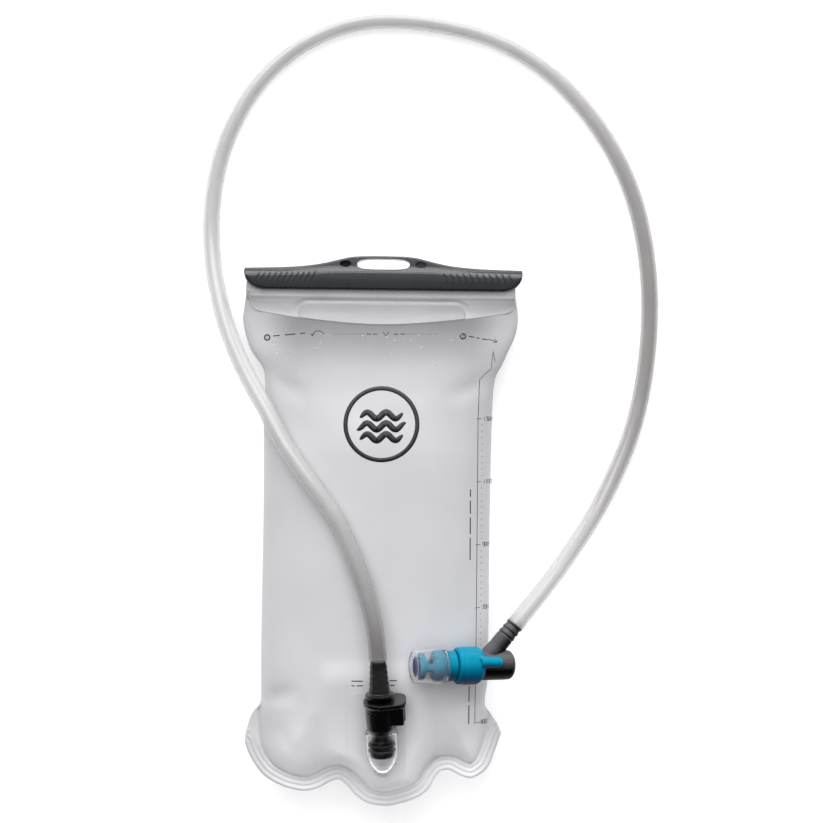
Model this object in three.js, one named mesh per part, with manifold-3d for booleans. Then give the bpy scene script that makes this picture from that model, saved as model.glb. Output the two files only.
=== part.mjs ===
// Hydration bladder: an inflated two-film reservoir with a slide-seal top, a quick-release
// drinking hose and a twist shut-off bite valve. Units are millimetres.
// The reservoir lies on its back: +Z out of its front, +Y towards the slide seal, floor at Z = 0.
import * as THREE from 'three';
import { mergeVertices } from 'three/addons/utils/BufferGeometryUtils.js';
import Module from 'manifold-3d';

const wasm = await Module();
wasm.setup();

// ---- Driving dimensions ----

const GAP = 0.3; // between touching pieces
const DEG = Math.PI / 180;

const FILM = 0.7;
const BODY_MID_Z = 27.5; // seam height of the filled body
const NECK_MID_Z = 17.05; // seam height of the flat neck
const FRONT_RISE = 26.2; // how far the filled front stands above the seam
const BACK_RISE = 30; // how far the back would hang below it, were there no floor
const WELD_WIDTH = 6;
const FULL_Y = 68; // the body is full below this
const FLAT_Y = 122; // the neck is flat above this
const LEAN = 0.0167; // sideways shift of the bag's middle per millimetre of Y
const LEAN_X = -2.9;

const BAR_HALF = 77;
const BAR_LOW_Y = 132.1;
const BAR_TOP_Y = 145.2;
const HUMP_TOP_Y = 150.8;
const BAR_LOW_Z = 12.7;
const BAR_THICK = 12.6;
const BAR_BEVEL = 1;
const CHANNEL = { lowZ: 14.5, highZ: 23.3, topY: 142.6 };
const LIP = { width: 2.8, height: 1.1 };
const SLOT = { length: 26, width: 5, y: 146.9 };
const GROOVES = {
  count: 11,
  width: 1,
  depth: 0.5,
  middleY: 138.5,
  slant: { startX: -68.6, pitch: 3.03, length: 8, angle: 27 * DEG },
  chevron: { startX: 35, pitch: 3.54, length: 4.4, angle: 32 * DEG, spread: 1.7 },
};

const FOLD_Y = 139.6; // centre of the folded mouth's bend
const FOLD_Z = 18.9;
const FRONT_BEND = 1.35; // mid-film radii of the bend
const BACK_BEND = 2.35;
const FLAP_LOW_Y = 112.6; // lowest point of the folded flap
const FLAP_CURVE = 12; // how much higher its ends are

const HOSE_RADIUS = 4.75;
const HOSE_STEPS = 64;
const HOSE_SIDES = 8;

const COUPLER_AT = new THREE.Vector3(-0.8, -86.3, 65.3); // middle of the coupler's upper face
const PORT_TILT = 8 * DEG;
const COUPLER_LEAN = 2.3 * DEG;
const FLANGE = { width: 32, length: 50, thick: 1.6, radius: 8, offsetX: -2.4, drop: 10.5 };

const VALVE_END = new THREE.Vector3(69.8, -70.4, 50); // right end of the valve's barrel
const VALVE_MOUTH = new THREE.Vector3(13.9, -69.1, 67);
const BRANCH_START = 17.4; // along the barrel, where the hose branch begins
const BRANCH_ANGLE = 49.5 * DEG;

// ---- Shared helpers ----

const group = new THREE.Group();

// Adds a named mesh with its own material to a parent group.
function addPart(parent, name, geometry, color, roughness = 0.5, metalness = 0) {
  const material = new THREE.MeshStandardMaterial({ color, roughness, metalness });
  const mesh = new THREE.Mesh(geometry, material);
  mesh.name = name;
  parent.add(mesh);
  return mesh;
}

// Smooth steps through [position, value] stations, flat at each station.
function through(stations, at) {
  const last = stations.length - 1;
  if (at <= stations[0][0]) return stations[0][1];
  if (at >= stations[last][0]) return stations[last][1];
  const next = stations.findIndex(([position]) => position > at);
  const [p0, v0] = stations[next - 1];
  const [p1, v1] = stations[next];
  return v0 + (v1 - v0) * THREE.MathUtils.smoothstep(at, p0, p1);
}

// A closed solid between two grids of points that share their rows and columns.
function slabBetween(outer, inner) {
  const rows = outer.length;
  const cols = outer[0].length;
  const points = [...outer.flat(), ...inner.flat()];
  const at = (side, row, col) => side * rows * cols + row * cols + col;
  const index = [];
  const quad = (a, b, c, d) => index.push(a, b, c, a, c, d);
  for (let row = 0; row < rows - 1; row++) {
    for (let col = 0; col < cols - 1; col++) {
      quad(at(0, row, col), at(0, row, col + 1), at(0, row + 1, col + 1), at(0, row + 1, col));
      quad(at(1, row, col), at(1, row + 1, col), at(1, row + 1, col + 1), at(1, row, col + 1));
    }
  }
  for (let col = 0; col < cols - 1; col++) {
    quad(at(0, 0, col), at(1, 0, col), at(1, 0, col + 1), at(0, 0, col + 1));
    quad(at(0, rows - 1, col), at(0, rows - 1, col + 1), at(1, rows - 1, col + 1), at(1, rows - 1, col));
  }
  for (let row = 0; row < rows - 1; row++) {
    quad(at(0, row, 0), at(0, row + 1, 0), at(1, row + 1, 0), at(1, row, 0));
    quad(at(0, row, cols - 1), at(1, row, cols - 1), at(1, row + 1, cols - 1), at(0, row + 1, cols - 1));
  }
  const geometry = new THREE.BufferGeometry().setFromPoints(points);
  geometry.setIndex(index);
  return facingOut(geometry);
}

// Turns the faces of a closed geometry round if its volume comes out negative.
function facingOut(geometry) {
  const position = geometry.attributes.position;
  const index = geometry.index.array;
  const [a, b, c] = [new THREE.Vector3(), new THREE.Vector3(), new THREE.Vector3()];
  let volume = 0;
  for (let i = 0; i < index.length; i += 3) {
    a.fromBufferAttribute(position, index[i]);
    b.fromBufferAttribute(position, index[i + 1]);
    c.fromBufferAttribute(position, index[i + 2]);
    volume += a.dot(b.cross(c));
  }
  if (volume < 0) {
    for (let i = 0; i < index.length; i += 3) {
      [index[i + 1], index[i + 2]] = [index[i + 2], index[i + 1]];
    }
  }
  return geometry;
}

function toSolid(geometry) {
  const bare = geometry.clone();
  bare.deleteAttribute('normal');
  bare.deleteAttribute('uv');
  const merged = mergeVertices(bare, 1e-4);
  return new wasm.Manifold(new wasm.Mesh({
    numProp: 3,
    vertProperties: new Float32Array(merged.attributes.position.array),
    triVerts: new Uint32Array(merged.index.array),
  }));
}

function toGeometry(solid) {
  const mesh = solid.getMesh();
  const geometry = new THREE.BufferGeometry();
  geometry.setAttribute('position', new THREE.BufferAttribute(mesh.vertProperties, 3));
  geometry.setIndex(new THREE.BufferAttribute(mesh.triVerts, 1));
  return geometry;
}

// Joins the first list of geometries and cuts the second list away.
function carve(joined, cuts = []) {
  let solid = toSolid(joined[0]);
  for (const piece of joined.slice(1)) solid = solid.add(toSolid(piece));
  for (const cut of cuts) solid = solid.subtract(toSolid(cut));
  return toGeometry(solid);
}

// A turned piece about Y; the profile is [radius, y] pairs in order of rising y.
function turned(profile, segments = 20) {
  return new THREE.LatheGeometry(profile.map(([r, y]) => new THREE.Vector2(r, y)), segments);
}

// A straight round bar about Y from one height to another.
function rod(radius, fromY, toY, segments = 20) {
  return turned([[0, fromY], [radius, fromY], [radius, toY], [0, toY]], segments);
}

function box(sizeX, sizeY, sizeZ, x, y, z) {
  return new THREE.BoxGeometry(sizeX, sizeY, sizeZ).translate(x, y, z);
}

// A ring of round section about Y.
function ring(radius, thickness, y) {
  const geometry = new THREE.TorusGeometry(radius, thickness / 2, 6, 20);
  return geometry.rotateX(Math.PI / 2).translate(0, y, 0);
}

function roundedRectangle(width, height, radius) {
  const shape = new THREE.Shape();
  const [x, y] = [width / 2, height / 2];
  shape.moveTo(-x + radius, -y);
  shape.lineTo(x - radius, -y);
  shape.absarc(x - radius, -y + radius, radius, -Math.PI / 2, 0);
  shape.absarc(x - radius, y - radius, radius, 0, Math.PI / 2);
  shape.absarc(-x + radius, y - radius, radius, Math.PI / 2, Math.PI);
  shape.absarc(-x + radius, -y + radius, radius, Math.PI, Math.PI * 1.5);
  return shape;
}

// ---- Reservoir film ----

const HALF_WIDTHS = [[-112, 69.5], [-94, 61.4], [80, 62.4], [114, 76], [132, 74.2]];
const BOTTOM_EDGE = [
  [-1, -116], [-0.62, -142.3], [-0.36, -137.2], [0.04, -150.8], [0.58, -131.5], [0.76, -135.6], [1, -113],
];
const HALF_COLUMNS = [0.18, 0.36, 0.54, 0.7, 0.84, 0.93, 0.98, 1];
const COLUMNS = [...HALF_COLUMNS.map((u) => -u).reverse(), 0, ...HALF_COLUMNS];
const END_STEPS = [0, 0.8, 3, 7, 13, 22, 34]; // distances from the bottom weld
const BODY_ROWS = 6;
const SHOULDER_ROWS = [60, 74, 84, 92, 100, 108, 116, 124, 131.5];
const BEND_STEPS = 4;
const FLAP_ROWS = 3;
const END_FILL = { reach: 60, power: 6 }; // how bluntly the body ends at the bottom weld
const PORT_FLAT = { x: -1.5, inner: 28, outer: 42, lowY: -72, highY: -55 };

const middleX = (y) => LEAN_X + LEAN * y;
const filmX = (u, y) => middleX(y) + through(HALF_WIDTHS, y) * u;
const seamZ = (y) => through([[FULL_Y, BODY_MID_Z], [FLAT_Y, NECK_MID_Z]], y);
const crossFill = (u) => Math.sqrt(Math.max(0, 1 - Math.min(1, Math.abs(u)) ** 2.4));
const flapEdgeY = (u) => FLAP_LOW_Y + FLAP_CURVE * u * u;

// How full the bag is at a place, from 0 at its welds to 1 in the middle.
function fill(u, y) {
  const inward = y - (through(BOTTOM_EDGE, u) + WELD_WIDTH);
  const fromEnd = Math.min(1, Math.max(0, 1 - inward / END_FILL.reach));
  const bottom = Math.sqrt(1 - fromEnd ** END_FILL.power);
  const top = (1 - THREE.MathUtils.smoothstep(y, FULL_Y, FLAT_Y)) ** 0.8;
  return crossFill(u) * Math.min(bottom, top);
}

// Height of the flat that the port's flange lies on.
function portPlaneZ(y) {
  const atTop = COUPLER_AT.z - FLANGE.drop * Math.cos(PORT_TILT) - GAP - 0.1;
  const topY = COUPLER_AT.y + FLANGE.drop * Math.sin(PORT_TILT);
  return atTop + (y - topY) * Math.tan(PORT_TILT);
}

// Height of the front film's outer surface.
function frontZ(u, y) {
  const free = seamZ(y) + GAP / 2 + FILM + FRONT_RISE * fill(u, y);
  const aside = Math.abs(filmX(u, y) - PORT_FLAT.x);
  const across = 1 - THREE.MathUtils.smoothstep(aside, PORT_FLAT.inner, PORT_FLAT.outer);
  const along = 1 - THREE.MathUtils.smoothstep(y, PORT_FLAT.lowY, PORT_FLAT.highY);
  return THREE.MathUtils.lerp(free, Math.min(free, portPlaneZ(y)), across * along);
}

const backZ = (u, y) => Math.max(0, seamZ(y) - GAP / 2 - FILM - BACK_RISE * fill(u, y));

// The inner face of a film, moved in by its thickness from the sides as well as downwards.
const inset = (u) => u * (1 + FILM / through(HALF_WIDTHS, 0));
const frontInnerZ = (u, y) => {
  const lowest = Math.min(frontZ(inset(u), y), frontZ(u, y));
  return Math.max(seamZ(y) + GAP / 2, lowest - FILM);
};
const backInnerZ = (u, y) => {
  const highest = Math.max(backZ(inset(u), y), backZ(u, y));
  return Math.min(seamZ(y) - GAP / 2, highest + FILM);
};

// Rows of one column from the bottom edge to the mouth of the bar.
function bodyRowYs(u) {
  const edge = through(BOTTOM_EDGE, u);
  const start = edge + WELD_WIDTH;
  const ends = END_STEPS.map((step) => start + step);
  const from = ends[ends.length - 1];
  const middle = [];
  for (let i = 1; i < BODY_ROWS; i++) middle.push(from + ((SHOULDER_ROWS[0] - from) * i) / BODY_ROWS);
  return [edge, ...ends, ...middle, ...SHOULDER_ROWS];
}

// One film panel: body, neck, bend over the mouth and flap, as a closed sheet.
function filmPanel(outerZ, innerZ, bend, outward, flapOffset) {
  const outer = [];
  const inner = [];
  for (const u of COLUMNS) {
    const outerColumn = [];
    const innerColumn = [];
    const put = (column, y, z) => column.push(new THREE.Vector3(filmX(u, y), y, z));
    for (const y of bodyRowYs(u)) {
      put(outerColumn, y, outerZ(u, y));
      put(innerColumn, y, innerZ(u, y));
    }
    for (let i = 0; i <= BEND_STEPS; i++) {
      const angle = -Math.PI / 2 + (Math.PI * i) / BEND_STEPS;
      const ofBend = (radius) => [FOLD_Y + radius * Math.cos(angle), FOLD_Z + radius * Math.sin(angle)];
      const [outerY, bendOuterZ] = ofBend(bend + (outward * FILM) / 2);
      const [innerY, bendInnerZ] = ofBend(bend - (outward * FILM) / 2);
      outerColumn.push(new THREE.Vector3(filmX(u, FOLD_Y), outerY, bendOuterZ));
      innerColumn.push(new THREE.Vector3(filmX(u, FOLD_Y), innerY, bendInnerZ));
    }
    for (let i = 0; i <= FLAP_ROWS; i++) {
      const y = THREE.MathUtils.lerp(SHOULDER_ROWS[SHOULDER_ROWS.length - 1], flapEdgeY(u), i / FLAP_ROWS);
      const base = frontZ(u, y) + flapOffset;
      put(outerColumn, y, base + (outward > 0 ? FILM : 0));
      put(innerColumn, y, base + (outward > 0 ? 0 : FILM));
    }
    outer.push(outerColumn);
    inner.push(innerColumn);
  }
  return slabBetween(outer, inner);
}

function addReservoir() {
  const foldGap = 2 * (FRONT_BEND - FILM / 2);
  const frontFlap = foldGap;
  const backFlap = foldGap + FILM + GAP;
  const front = filmPanel(frontZ, frontInnerZ, FRONT_BEND, -1, frontFlap);
  const back = filmPanel(backZ, backInnerZ, BACK_BEND, 1, backFlap);
  const drain = rod(3.5, -3, 3, 12).rotateX(Math.PI / 2 + PORT_TILT);
  drain.translate(0.6, -120.6, portPlaneZ(-120.6));
  addPart(group, 'front_panel', carve([front], [drain]), 0xd5d6d8, 0.35);
  addPart(group, 'back_panel', back, 0xc9cacc, 0.35);
  addPart(group, 'mouth_grip_tab', gripTab(backFlap + FILM + GAP), 0xdedfe1, 0.4);
}

// The stiffened tab on the folded flap.
function gripTab(offset) {
  const topY = 130;
  const lowY = 115.2;
  const thick = 0.5;
  const outer = [];
  const inner = [];
  for (const u of [-0.62, -0.54, -0.36, -0.18, 0, 0.18, 0.36, 0.54, 0.62]) {
    const rows = [topY, 124, 119, Math.max(lowY, flapEdgeY(u) + 1)];
    outer.push(rows.map((y) => new THREE.Vector3(filmX(u, y), y, tabBaseZ(u, y) + offset + thick)));
    inner.push(rows.map((y) => new THREE.Vector3(filmX(u, y), y, tabBaseZ(u, y) + offset)));
  }
  return slabBetween(outer, inner);
}

// Height of the front film under the tab, as the flap's straight facets carry it.
function tabBaseZ(u, y) {
  const top = SHOULDER_ROWS[SHOULDER_ROWS.length - 1];
  const edge = flapEdgeY(u);
  const step = ((top - y) / (top - edge)) * FLAP_ROWS;
  const row = Math.min(FLAP_ROWS - 1, Math.floor(step));
  const yAt = (i) => THREE.MathUtils.lerp(top, edge, i / FLAP_ROWS);
  return THREE.MathUtils.lerp(frontZ(u, yAt(row)), frontZ(u, yAt(row + 1)), step - row);
}

// ---- Slide seal ----

function addSeal() {
  const length = 2 * (BAR_HALF - 4);
  const rail = { height: 3.8, thick: 1.1 };
  const strip = { height: 9, thick: 1.4 };
  const railY = FOLD_Y - 0.2 - rail.height / 2;
  const backRailZ = FOLD_Z - BACK_BEND - FILM / 2 - GAP - rail.thick / 2;
  const frontRailZ = FOLD_Z + BACK_BEND + FILM / 2 + GAP + rail.thick / 2;
  addPart(group, 'seal_rail_back', box(length, rail.height, rail.thick, 0, railY, backRailZ), 0x9a9c9f);
  addPart(group, 'seal_rail_front', box(length, rail.height, rail.thick, 0, railY, frontRailZ), 0x9a9c9f);
  const stripY = FOLD_Y - strip.height / 2;
  addPart(group, 'fold_core_strip', box(length, strip.height, strip.thick, 0, stripY, FOLD_Z), 0xb4b6b9);
  addPart(group, 'slide_seal_bar', sealBar(), 0x4b4d50, 0.45);
}

// The bar's outline: straight lower edge, a raised hump over the hanger slot.
function barOutline() {
  const inset = BAR_BEVEL;
  const half = BAR_HALF - inset;
  const low = BAR_LOW_Y + inset;
  const end = BAR_TOP_Y - inset;
  const hump = HUMP_TOP_Y - inset;
  const shape = new THREE.Shape();
  shape.moveTo(-66, low);
  shape.lineTo(66, low);
  shape.bezierCurveTo(72, low, 75, 136, half, end);
  shape.lineTo(46, end + 0.4);
  shape.bezierCurveTo(34, end + 1, 28, hump, 16, hump);
  shape.lineTo(-16, hump);
  shape.bezierCurveTo(-28, hump, -34, end + 1, -46, end + 0.4);
  shape.lineTo(-half, end);
  shape.bezierCurveTo(-75, 136, -72, low, -66, low);
  return shape;
}

// A channel for the folded mouth, with a lip on each jaw behind its rail.
function barChannel() {
  const { lowZ, highZ, topY } = CHANNEL;
  const reach = 2 * BAR_HALF + 10;
  const depth = topY - BAR_LOW_Y - LIP.width;
  const chamber = box(reach, depth, highZ - lowZ, 0, topY - depth / 2, (lowZ + highZ) / 2);
  const mouthHeight = highZ - lowZ - 2 * LIP.height;
  const mouth = box(reach, LIP.width + 4, mouthHeight, 0, BAR_LOW_Y + LIP.width / 2, (lowZ + highZ) / 2);
  return [chamber, mouth];
}

// Shallow grip grooves at both ends of the bar's front: slanted at the left, chevrons at the right.
function gripGrooves() {
  const { count, width, depth, middleY, slant, chevron } = GROOVES;
  const z = BAR_LOW_Z + BAR_THICK;
  const cuts = [];
  for (let i = 0; i < count; i++) {
    const leftX = slant.startX + slant.pitch * i;
    const rightX = chevron.startX + chevron.pitch * i;
    const slanted = box(width, slant.length, 2 * depth, 0, 0, 0).rotateZ(-slant.angle);
    cuts.push(slanted.translate(leftX, middleY, z));
    for (const side of [-1, 1]) {
      const arm = box(width, chevron.length, 2 * depth, 0, 0, 0).rotateZ(side * chevron.angle);
      cuts.push(arm.translate(rightX, middleY + side * chevron.spread, z));
    }
  }
  return cuts;
}

function sealBar() {
  const blank = new THREE.ExtrudeGeometry(barOutline(), {
    depth: BAR_THICK - 2 * BAR_BEVEL,
    bevelThickness: BAR_BEVEL,
    bevelSize: BAR_BEVEL,
    bevelSegments: 2,
    curveSegments: 6,
  }).translate(0, 0, BAR_LOW_Z + BAR_BEVEL);
  const slot = new THREE.ExtrudeGeometry(roundedRectangle(SLOT.length, SLOT.width, SLOT.width / 2), {
    depth: BAR_THICK + 8,
    bevelEnabled: false,
    curveSegments: 4,
  }).translate(0, SLOT.y, BAR_LOW_Z - 4);
  const recesses = [-20.4, 21.1].map((x) => {
    const oval = new THREE.CylinderGeometry(1.6, 1.6, 6, 12).rotateX(Math.PI / 2);
    return oval.scale(1.7, 1, 1).translate(x, SLOT.y, BAR_LOW_Z + BAR_THICK);
  });
  return carve([blank], [...barChannel(), slot, ...recesses, ...gripGrooves()]);
}

// ---- Port and coupler ----

const SOCKET = { top: -17.2, bottom: -42.3, outer: 10.1 };
const NOSE = { top: -17.5, bottom: -31.3, radius: 6.7 };
const BORE = 3.8; // plug bore of the coupler
const SEAT_Y = -13.7;
const CHAMBER_LOW = -29;
const LATCH_Y = -5.5; // middle of the latch plate's slot

// Frame of the port: tilted to lie on the film.
function portGroup() {
  const frame = new THREE.Group();
  frame.position.copy(COUPLER_AT);
  frame.rotation.x = PORT_TILT;
  group.add(frame);
  return frame;
}

function addPort(frame) {
  const { width, length, thick, radius, offsetX, drop } = FLANGE;
  const flange = new THREE.ExtrudeGeometry(roundedRectangle(width, length, radius), {
    depth: thick - 0.4,
    bevelThickness: 0.2,
    bevelSize: 0.4,
    bevelOffset: -0.4,
    bevelSegments: 1,
    curveSegments: 5,
  }).translate(offsetX, -length / 2, -drop + 0.2);
  const shell = turned([
    [0, SOCKET.bottom], [6, SOCKET.bottom + 0.8], [9, SOCKET.bottom + 4], [SOCKET.outer, SOCKET.bottom + 9],
    [SOCKET.outer, SOCKET.top], [0, SOCKET.top],
  ]).rotateZ(COUPLER_LEAN);
  const cavity = turned([
    [0, -38.8], [4.4, -38.8], [5, -32.9], [7.9, -31.9], [7.9, SOCKET.top + 2], [0, SOCKET.top + 2],
  ]).rotateZ(COUPLER_LEAN);
  const outlet = rod(3.5, -14, 0, 12).rotateX(Math.PI / 2).translate(1.4, -36, 0);
  addPart(frame, 'port_fitting', carve([flange, shell], [cavity, outlet]), 0xd9dadc, 0.2);
}

// Frame of the coupler: the port's frame, leaned to the hose's direction.
function couplerGroup(frame) {
  const leaned = new THREE.Group();
  leaned.rotation.z = COUPLER_LEAN;
  frame.add(leaned);
  return leaned;
}

function couplerBody() {
  const { top, bottom, radius } = NOSE;
  const outer = turned([
    [0, bottom], [radius - 1, bottom], [radius, bottom + 1], [radius, -28.2], [5.9, -28.2], [5.9, -26.6],
    [radius, -26.6], [radius, -25], [5.9, -25], [5.9, -23.4], [radius, -23.4], [radius, top + 0.6],
    [7.4, top + 0.6], [8, top + 1.6], [8, -0.8], [7.2, 0], [0, 0],
  ], 24);
  const housing = box(6, 12.6, 10.6, 8.4, -7.2, 0);
  const bore = turned([
    [0, bottom - 1], [2.6, bottom - 1], [2.6, CHAMBER_LOW], [5, CHAMBER_LOW], [5, SEAT_Y], [3, SEAT_Y],
    [3, SEAT_Y + 2], [BORE, SEAT_Y + 2], [BORE, 1], [0, 1],
  ]);
  const latchRound = rod(7.1, LATCH_Y - 1.25, LATCH_Y + 1.25);
  const latchSlot = box(13, 2.5, 8.6, 6, LATCH_Y, 0);
  const buttonWell = box(4, 9.6, 8, 9.9, -7.4, 0);
  return carve([outer, housing], [bore, latchRound, latchSlot, buttonWell]);
}

// The release button, one piece with the latch plate that surrounds the plug.
function releaseButton() {
  const pad = box(3, 8.8, 7.2, 11.4, -7.4, 0);
  const plate = rod(5.2, LATCH_Y - 0.9, LATCH_Y + 0.9);
  const shank = box(8, 1.8, 7.2, 6.5, LATCH_Y, 0);
  const eye = rod(4, LATCH_Y - 4, LATCH_Y + 4).scale(1.2, 1, 1).translate(0.5, 0, 0);
  return carve([pad, plate, shank], [eye]);
}

// A coil spring about Y as one tube along a helix.
function coil(radius, wire, fromY, toY, turns) {
  const points = [];
  const steps = turns * 10;
  for (let i = 0; i <= steps; i++) {
    const angle = (i / 10) * 2 * Math.PI;
    const y = THREE.MathUtils.lerp(fromY + wire / 2, toY - wire / 2, i / steps);
    points.push(new THREE.Vector3(radius * Math.cos(angle), y, radius * Math.sin(angle)));
  }
  return tube(new THREE.CatmullRomCurve3(points), wire / 2, steps, 5);
}

function tube(curve, radius, steps, sides) {
  const section = new THREE.Shape();
  for (let i = 0; i < sides; i++) {
    const angle = (i / sides) * 2 * Math.PI;
    section[i ? 'lineTo' : 'moveTo'](radius * Math.cos(angle), radius * Math.sin(angle));
  }
  return new THREE.ExtrudeGeometry(section, { steps, extrudePath: curve, bevelEnabled: false });
}

function addCoupler(frame) {
  const black = 0x1b1c1e;
  addPart(frame, 'coupler_body', couplerBody(), black, 0.4);
  addPart(frame, 'release_button', releaseButton(), 0x2a2b2e, 0.45);
  const buttonSpring = coil(1.2, 0.35, 0, 1.4, 3).rotateZ(-Math.PI / 2).translate(8.2, -9.8, 0);
  addPart(frame, 'button_spring', buttonSpring, 0xb0b0b4, 0.3, 0.9);
  addPart(frame, 'nose_oring_upper', ring(6.75, 1.2, -24.2), 0x101012, 0.7);
  addPart(frame, 'nose_oring_lower', ring(6.75, 1.2, -27.4), 0x101012, 0.7);
  const poppet = turned([
    [0, -23.1], [1.4, -23.1], [1.4, -20.1], [4.4, -20.1], [4.4, -18.3], [2.1, -18.3], [2.1, -12.4],
    [0, -12.4],
  ]);
  addPart(frame, 'shutoff_poppet', poppet, 0x303236, 0.4);
  addPart(frame, 'poppet_seal', ring(3.3, 0.9, -17.5), 0x101012, 0.7);
  addPart(frame, 'poppet_spring', coil(3, 0.7, CHAMBER_LOW + GAP, -20.4, 5), 0xb0b0b4, 0.3, 0.9);
  addPart(frame, 'hose_plug', hosePlug(), black, 0.4);
  addPart(frame, 'plug_oring', ring(3.2, 0.8, -8.8), 0x101012, 0.7);
}

const PLUG_TOP = 18; // end of the plug's barbed stem

function hosePlug() {
  const barbs = [];
  for (let i = 0; i < 4; i++) {
    const y = 6 + 3.2 * i;
    barbs.push([2.6, y], [3.5, y], [2.7, y + 2.6]);
  }
  const outer = turned([
    [0, -11.9], [2.6, -11.9], [2.6, -11.2], [3, -11.2], [3.5, -10.4], [3.5, -9.5], [2.6, -9.5], [2.6, -8.1],
    [3.5, -8.1], [3.5, GAP],
    [7.9, GAP], [8.2, 0.8], [8.2, 2.4], [7.6, 3], [5.2, 3], [5.2, 4], [2.6, 4], ...barbs, [2.4, PLUG_TOP],
    [0, PLUG_TOP],
  ]);
  return carve([outer], [rod(1.8, -18, PLUG_TOP + 1, 12)]);
}

// ---- Bite valve ----

// Frame of the valve: Y along the barrel towards the mouth, X to the hose branch's side.
function valveFrame() {
  const along = VALVE_MOUTH.clone().sub(VALVE_END).normalize();
  const up = new THREE.Vector3(0, 0, 1).addScaledVector(along, -along.z).normalize();
  const side = new THREE.Vector3().crossVectors(along, up);
  const frame = new THREE.Group();
  frame.matrix.makeBasis(side, along, up).setPosition(VALVE_END);
  frame.matrix.decompose(frame.position, frame.quaternion, frame.scale);
  group.add(frame);
  return frame;
}

const BRANCH_END = 30.2;

// Places a piece that is turned about Y on the hose branch.
const onBranch = (geometry) => geometry.rotateZ(-(Math.PI - BRANCH_ANGLE)).translate(0, BRANCH_START, 0);

function elbowBody() {
  const barrel = turned([
    [0, 0], [4.6, 0], [6.8, 1], [7.9, 3.2], [7.9, 22.4], [5.4, 22.4], [5.4, 25.6], [4.6, 25.6], [4.6, 27],
    [5.4, 27], [5.4, 28.8], [4.6, 28.8], [4.6, 30.2], [5.4, 30.2], [5.4, 31.9], [0, 31.9],
  ], 24);
  const barbs = [];
  for (let i = 0; i < 3; i++) {
    const y = 21 + 3.2 * i;
    barbs.push([2.7, y], [3.5, y], [2.7, y + 2.6]);
  }
  const branch = onBranch(turned([
    [0, 0], [4.6, 0], [4.6, 18.4], [5.4, 18.6], [5.4, 19.8], [2.7, 20], ...barbs, [2.5, BRANCH_END],
    [0, BRANCH_END],
  ]));
  const mainBore = rod(3.4, 11.4, 40, 14);
  const branchBore = onBranch(rod(1.8, 0, BRANCH_END + 2, 12));
  return carve([barrel, branch], [mainBore, branchBore]);
}

function shutoffCollar() {
  const sleeve = turned([[0, 17], [9.2, 17], [10, 19.6], [10, 31], [9.2, 32.2], [0, 32.2]], 24);
  const lever = new THREE.ExtrudeGeometry(roundedRectangle(6, 16, 2.9), {
    depth: 2.2,
    bevelEnabled: false,
    curveSegments: 5,
  }).translate(1.7, 13.5, 8.3);
  const overBarrel = rod(8.25, 9, 22.7, 24);
  const overSpigot = rod(5.75, 22, 40, 20);
  return carve([sleeve, lever], [overBarrel, overSpigot]);
}

function mouthpieceCore() {
  const outer = turned([
    [0, 32.5], [7.8, 32.5], [8, 33], [8, 36.6], [6.5, 37.4], [6.5, 39], [8.4, 40.1], [8.4, 44.4], [7, 45.2],
    [7, 52.6], [0, 52.6],
  ]);
  const windows = [0, 1].map((turn) => box(30, 4.6, 8, 0, 47.4, 0).rotateY((turn * Math.PI) / 2));
  return carve([outer], [rod(3.6, 30, 60, 16), ...windows]);
}

function addValve(frame) {
  addPart(frame, 'valve_elbow', elbowBody(), 0x3a3b3e, 0.45);
  addPart(frame, 'spigot_oring_inner', ring(5.15, 0.8, 26.3), 0x101012, 0.7);
  addPart(frame, 'spigot_oring_outer', ring(5.15, 0.8, 29.5), 0x101012, 0.7);
  addPart(frame, 'shutoff_collar', shutoffCollar(), 0x0096b9, 0.35);
  addPart(frame, 'mouthpiece_core', mouthpieceCore(), 0x0a9cc4, 0.35);
  const sheath = turned([
    [8.7, 34.5], [9.1, 33], [9.5, 34.5], [9.5, 54], [8.6, 55.9], [7.2, 55.9], [6.9, 54.7], [8.7, 53.2],
    [8.7, 34.5],
  ], 24);
  addPart(frame, 'bite_sheath', sheath, 0xcfe6ee, 0.25);
  addPart(frame, 'bite_membrane', rod(6.5, 53.2, 54.2, 20), 0x14507a, 0.5);
}

// ---- Hose ----

// The hose as it lies: from the coupler over the bag's left side, round on the floor, to the valve.
const HOSE_ROUTE = [
  [-1.6, -67.4, 68], [-2.2, -58.5, 68.5], [-3.3, -49.6, 68], [-5.6, -39.3, 66.4], [-9.7, -25.4, 63.6],
  [-15.6, -10.4, 60.9], [-23, 5.9, 59.4], [-31.6, 19.1, 58.2], [-40.7, 31.2, 56], [-50, 44.4, 52.6],
  [-56.4, 55, 49.1], [-62.1, 65.7, 44.8], [-68.7, 76.5, 39.6], [-74.9, 87.5, 34], [-80.3, 98.5, 28.6],
  [-85, 109.7, 23.2], [-88.8, 121, 18.2], [-93.1, 138, 11.8], [-95.5, 155.1, 7.4], [-96.1, 172.1, 5.2],
  [-94.7, 188.9, 4.8], [-91.4, 205.7, 4.8], [-85.5, 222.5, 4.8], [-76.8, 239.3, 4.8], [-63.6, 256.1, 4.8],
  [-43.8, 271.5, 4.8], [-18.6, 281.8, 4.8], [4.9, 284.1, 4.8], [31.8, 281.5, 4.8], [63.7, 272.9, 4.8],
  [91.7, 256.1, 4.8], [113.5, 233.7, 4.8], [131.7, 205.7, 4.8], [144, 172.1, 4.8], [149.6, 121.7, 4.8],
  [141.5, 60.1, 5.6], [121.7, 15.8, 14.5], [107.6, -5, 26.5], [91.5, -25.4, 40], [73.1, -46.8, 49.2],
];

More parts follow.
